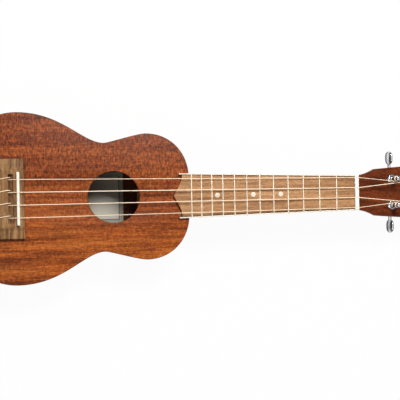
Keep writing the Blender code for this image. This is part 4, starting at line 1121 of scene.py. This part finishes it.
root_width = thread_width(-TOOTH_DEPTH)
crest_width = thread_width(TOOTH_RISE)
crest_radius = WORM_RADIUS + TOOTH_RISE
buried = SHAFT_RADIUS - THREAD_SUNK
thread_view = [(buried, 0), (SHAFT_RADIUS, 0), (crest_radius, (root_width - crest_width) / 2),
               (crest_radius, (root_width + crest_width) / 2), (SHAFT_RADIUS, root_width),
               (buried, root_width)]
thread_knots = [((radius, WORM_LOW + level), (0, 0), (0, 0)) for radius, level in thread_view]
thread_line = trace("thread", [thread_knots], True, 1)
thread_line.data.fill_mode = "NONE"
thread = to_mesh(thread_line)
thread.data.transform(Matrix.Rotation(math.pi / 2, 4, "X"))
apply_modifier(thread, "SCREW", axis="Z", angle=2 * math.pi, screw_offset=THREAD_PITCH,
               iterations=WORM_TURNS, steps=THREAD_STEPS, render_steps=THREAD_STEPS,
               use_merge_vertices=False)
bpy.ops.object.mode_set(mode="EDIT")
bpy.ops.mesh.select_all(action="SELECT")
bpy.ops.mesh.fill_holes(sides=0)
bpy.ops.object.mode_set(mode="OBJECT")
merge_seams(thread)
along_y = Matrix.Rotation(-math.pi / 2, 4, "X")
for string, place in tuner_frames.items():
    along_head, across_head = POST_PLACES[string]
    button_start = head_half(along_head + KEY_OFFSET) + HEAD_CLEARANCE - abs(across_head)
    shaft_end = button_start + BUTTON_GRIP
    profile = [(0, SHAFT_TAIL), (SHAFT_RADIUS, SHAFT_TAIL), (SHAFT_RADIUS, shaft_end), (0, shaft_end)]
    key = lathe(f"tuner_{string}_key", profile, sides=40)
    ease(key, SHAFT_EASE, 2, 30)
    combine(key, copy_of(thread, "thread_copy", Matrix.Identity(4)), "UNION")
    swell = []
    for i in range(BUTTON_RINGS + 1):
        share = 0.5 - 0.5 * math.cos(math.pi * i / BUTTON_RINGS)
        reach = max(0.0, 1 - abs(2 * share - 1) ** BUTTON_SWELL) ** 0.5
        swell.append((reach, button_start + share * BUTTON_LENGTH))
    button = lathe("button", swell, sides=56)
    for vertex in button.data.vertices:
        reach = math.hypot(vertex.co.x, vertex.co.y)
        if reach > 0:
            squared = [math.copysign(abs(part / reach) ** BUTTON_SQUARE, part) for part in vertex.co.xy]
            vertex.co.x = reach * squared[0] * BUTTON_THICK / 2
            vertex.co.y = reach * squared[1] * BUTTON_WIDE / 2
    combine(key, button, "UNION")
    merge_seams(key)
    turn = 0 if across_head > 0 else math.pi
    key.data.transform(place @ Matrix.Translation((KEY_OFFSET, 0, KEY_LEVEL))
                       @ Matrix.Rotation(turn, 4, "Z") @ along_y)
    smooth(key, 40)
    dress(key, chrome_finish, "tuner_chrome", f"key_{string}", f"tuner_key_{string}")
bpy.data.objects.remove(thread)


# Strings: four lengths of clear nylon, each tied over the bridge's block,
# drawn over the saddle and the nut, and wound on its post.

LOOP_ASIDE = 0.0021
LOOP_EASE = 0.0006
LOOP_TAIL = 0.0022
BEND = 0.0006
TUBE_ROUND = 4
WINDING_GAP = 0.00045
SEAT = 0.0002
NYLON_DEPTH = (0.0006, 0.0005, 0.0004)
# Painted glow: a faint light that the strings give off themselves, to make them brighter
PAINTED_GLOW = 0.10


def rounded(points, radius):
    """The same route with every corner rounded off."""
    route = [points[0]]
    for before, corner, after in zip(points, points[1:], points[2:]):
        first = corner.lerp(before, min(0.45, radius / (before - corner).length))
        last = corner.lerp(after, min(0.45, radius / (after - corner).length))
        for share in (0, 0.25, 0.5, 0.75, 1):
            route.append(first.lerp(corner, share).lerp(corner.lerp(last, share), share))
    return route + [points[-1]]


def cord(name, points, diameter):
    """A round tube along a route."""
    clear_selection()
    bpy.ops.curve.primitive_bezier_curve_add()
    line = bpy.context.object
    line.name = name
    line.data.splines.clear()
    spline = line.data.splines.new("POLY")
    spline.points.add(len(points) - 1)
    for slot, point in zip(spline.points, points):
        slot.co = (*point, 1)
    line.data.bevel_depth = diameter / 2
    line.data.bevel_resolution = TUBE_ROUND
    line.data.use_fill_caps = True
    made = to_mesh(line)
    merge_seams(made)
    smooth(made, 60)
    return made


def nut_exit(string, index):
    """Where a string leaves the nut's back edge."""
    level = string_under(0) + STRING_DIAMETERS[string] / 2
    return Vector((nut_back + CLEAR, string_across(index, 0), level))


def winding_turns(string, index):
    """A winding's radius, where it starts round the post, its way, sweep, climb and lowest level."""
    diameter = STRING_DIAMETERS[string]
    radius = POST_WAIST + 2 * RUNNING + diameter / 2
    leave = tuner_frames[string].inverted() @ nut_exit(string, index)
    way = 1 if POST_PLACES[string][1] > 0 else -1
    contact = math.atan2(leave.y, leave.x) + way * math.acos(radius / math.hypot(leave.x, leave.y))
    sweep = 4 * math.pi + (-way * contact) % (2 * math.pi)
    climb = diameter + WINDING_GAP
    return radius, contact, way, sweep, climb, POST_HOLE_LEVEL - climb * sweep / (2 * math.pi)


nylon, shader, at = begin_finish("clear_nylon")
haze = at.noise((60, 400, 400), 2)
haze.blend(tone(255, 224, 190), tone(255, 240, 214)).feed(shader, "Base Color")
(0.22 + haze * 0.12).feed(shader, "Roughness")
shader.inputs["Subsurface Weight"].default_value = 0.25
shader.inputs["Subsurface Radius"].default_value = NYLON_DEPTH
# Painted glow: the nylon emits a faint warm light of its own
shader.inputs["Emission Color"].default_value = tone(255, 214, 178)
shader.inputs["Emission Strength"].default_value = PAINTED_GLOW
for index, (string, diameter) in enumerate(STRING_DIAMETERS.items()):
    radius = diameter / 2
    y = string_across(index, SADDLE_AT)
    over = BRIDGE_TOP + radius + SEAT
    clear = radius + SEAT
    saddle_level = string_under(SADDLE_AT) + radius
    slope = (saddle_level - HOLE_LEVEL) / (BLOCK_FRONT - SADDLE_AT - SADDLE_THICKNESS / 2)
    ridge_level = max(over, saddle_level - slope * (RIDGE_BACK - SADDLE_AT - SADDLE_THICKNESS / 2))
    beside = y + LOOP_ASIDE
    round_off = 0.75 * clear
    below = BRIDGE_TOP - LOOP_EASE
    above = BRIDGE_TOP + round_off
    saddle_front = SADDLE_AT - SADDLE_THICKNESS / 2
    route = [(BLOCK_FRONT - LOOP_TAIL, beside, HOLE_LEVEL - SEAT),
             (BLOCK_FRONT - clear - LOOP_EASE / 2, beside, HOLE_LEVEL + LOOP_EASE),
             (BLOCK_FRONT - clear, beside, below),
             (BLOCK_FRONT - round_off, beside, above),
             (BLOCK_FRONT + LOOP_EASE, beside, over),
             ((BLOCK_FRONT + BLOCK_BACK) / 2, y + 0.6 * LOOP_ASIDE, over + CLEAR),
             (BLOCK_BACK - LOOP_EASE, y + 0.2 * LOOP_ASIDE, over),
             (BLOCK_BACK + round_off, y, above),
             (BLOCK_BACK + clear, y, below),
             (BLOCK_BACK + clear, y, HOLE_LEVEL + 2 * LOOP_EASE),
             (BLOCK_BACK + round_off, y, HOLE_LEVEL + LOOP_EASE / 2),
             (BLOCK_BACK - CLEAR, y, HOLE_LEVEL),
             (BLOCK_FRONT, y, HOLE_LEVEL),
             (BLOCK_FRONT - LOOP_EASE, y, HOLE_LEVEL + SEAT),
             (RIDGE_BACK + round_off, y, ridge_level),
             (SADDLE_AT + SADDLE_THICKNESS / 2, y, saddle_level + CLEAR),
             (saddle_front, y, string_under(saddle_front) + radius + CLEAR)]
    points = [Vector((NUT_EDGE - station, across, level)) for station, across, level in route]
    points.append(Vector((NUT_EDGE, string_across(index, 0), string_under(0) + radius)))
    points.append(nut_exit(string, index))
    reach, contact, _, _, _, lowest = winding_turns(string, index)
    points.append(tuner_frames[string] @ Vector((reach * math.cos(contact), reach * math.sin(contact),
                                                 lowest - diameter - RUNNING)))
    taut = cord(f"string_{string}_taut", rounded(points, BEND), diameter)
    dress(taut, nylon, "string_nylon", "root", f"string_{string}")


# Windings: the last turns of each string, wound up its post and tucked into
# the cross hole, so they turn with the post.

PER_TURN = 36
DIVE = math.radians(42)

for index, (string, diameter) in enumerate(STRING_DIAMETERS.items()):
    reach, contact, way, sweep, climb, lowest = winding_turns(string, index)
    steps = round((sweep - DIVE) / (2 * math.pi) * PER_TURN)
    points = []
    for i in range(steps + 1):
        turn = (sweep - DIVE) * i / steps
        angle = contact + way * turn
        points.append(Vector((reach * math.cos(angle), reach * math.sin(angle),
                              lowest + climb * turn / (2 * math.pi))))
    last = points[-1]
    heading = Vector((-way * last.y, way * last.x, 0)).normalized()
    points += interpolate_bezier(last, last + heading * 0.45 * reach,
                                 Vector((0.75 * reach, 0, POST_HOLE_LEVEL)),
                                 Vector((0, 0, POST_HOLE_LEVEL)), 12)[1:]
    points.append(Vector((-0.4 * reach, 0, POST_HOLE_LEVEL)))
    wound = cord(f"string_{string}_winding", [tuner_frames[string] @ point for point in points], diameter)
    dress(wound, nylon, "string_nylon", f"post_{string}", f"string_winding_{string}")


# Floor, light and camera: a white floor that keeps the shadow, a large soft
# light from the low-G side, a weak fill from the other, and the photo's view.

FLOOR_LEVEL = -0.0004
CAMERA_WHITE = 0.96
GLOSS_WHITE = 0.4
ROOM_LIGHT = (0.16, 0.16, 0.165, 1)
# What metal mirrors of the room, from the horizon (0) to the ceiling (1)
ROOM_BANDS = ((0.0, 0.35), (0.2, 0.04), (0.6, 0.03), (0.8, 0.75), (1.0, 1.0))
clear_selection()
bpy.ops.mesh.primitive_plane_add(size=8, location=(0, 0, FLOOR_LEVEL))
floor = bpy.context.object
floor.name = "pale_floor"
floor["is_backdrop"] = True
pale = bpy.data.materials.new("pale_floor")
pale.use_nodes = True
tree = pale.node_tree
shader = tree.nodes["Principled BSDF"]
shader.inputs["Base Color"].default_value = (0.86, 0.86, 0.86, 1)
shader.inputs["Roughness"].default_value = 0.9
ray = Shade(tree)
seen = ray.node("ShaderNodeLightPath", out="Is Camera Ray") * CAMERA_WHITE
for kind in ("Is Glossy Ray", "Is Transmission Ray"):
    seen = seen + ray.node("ShaderNodeLightPath", out=kind) * GLOSS_WHITE
white = ray.node("ShaderNodeEmission", None, {"Color": (1, 1, 1, 1), "Strength": 1.0})
surface = ray.node("ShaderNodeMixShader", None,
                   {0: seen.math("MINIMUM", seen, CAMERA_WHITE),
                    1: Shade(tree, shader.outputs[0]), 2: white})
surface.feed(tree.nodes["Material Output"], "Surface")
floor.data.materials.append(pale)

world = bpy.data.worlds.new("studio")
world.use_nodes = True
bpy.context.scene.world = world
sky = Shade(world.node_tree)
height = sky.node("ShaderNodeSeparateXYZ", None,
                  {"Vector": sky.node("ShaderNodeTexCoord", out="Generated")}, out="Z")
studio = height.node("ShaderNodeValToRGB", {"stops": grey_stops(ROOM_BANDS)}, {"Fac": height})
camera_ray = sky.node("ShaderNodeLightPath", out="Is Camera Ray")
glossy_ray = sky.node("ShaderNodeLightPath", out="Is Glossy Ray")
room = glossy_ray.blend(ROOM_LIGHT, studio)
room = camera_ray.blend(room, (1, 1, 1, 1))
room.feed(world.node_tree.nodes["Background"], "Color")


def area_light(name, place, target, size, power):
    clear_selection()
    bpy.ops.object.light_add(type="AREA", location=place)
    lamp = bpy.context.object
    lamp.name = name
    lamp.data.shape = "RECTANGLE"
    lamp.data.size = size[0]
    lamp.data.size_y = size[1]
    lamp.data.energy = power
    lamp.rotation_euler = (Vector(target) - Vector(place)).to_track_quat("-Z", "Y").to_euler()
    lamp.visible_camera = False


area_light("key_softbox", (0.30, 1.10, 1.98), (-0.1, 0, 0.05), (0.70, 0.55), 51)
area_light("fill_softbox", (-0.5, -0.7, 1.1), (-0.05, 0, 0.05), (0.9, 0.9), 2.5)

AIM = Vector((-0.0099, -0.0047, 0.0652))
CAMERA_OFFSET = Vector((-0.118, 0.0, 0.993))
ROLL = math.radians(1.1)
clear_selection()
bpy.ops.object.camera_add()
camera = bpy.context.object
camera.name = "photo_camera"
camera.data.lens = 87.0
camera.data.sensor_width = 36.0
away = CAMERA_OFFSET.normalized()
right = Vector((math.sin(ROLL), math.cos(ROLL), 0)).cross(away).normalized()
up = away.cross(right)
turned = Matrix((right, up, away)).transposed().to_4x4()
camera.matrix_world = Matrix.Translation(AIM + CAMERA_OFFSET) @ turned
bpy.context.scene.camera = camera
bpy.context.scene.view_settings.view_transform = "Standard"

low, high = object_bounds()
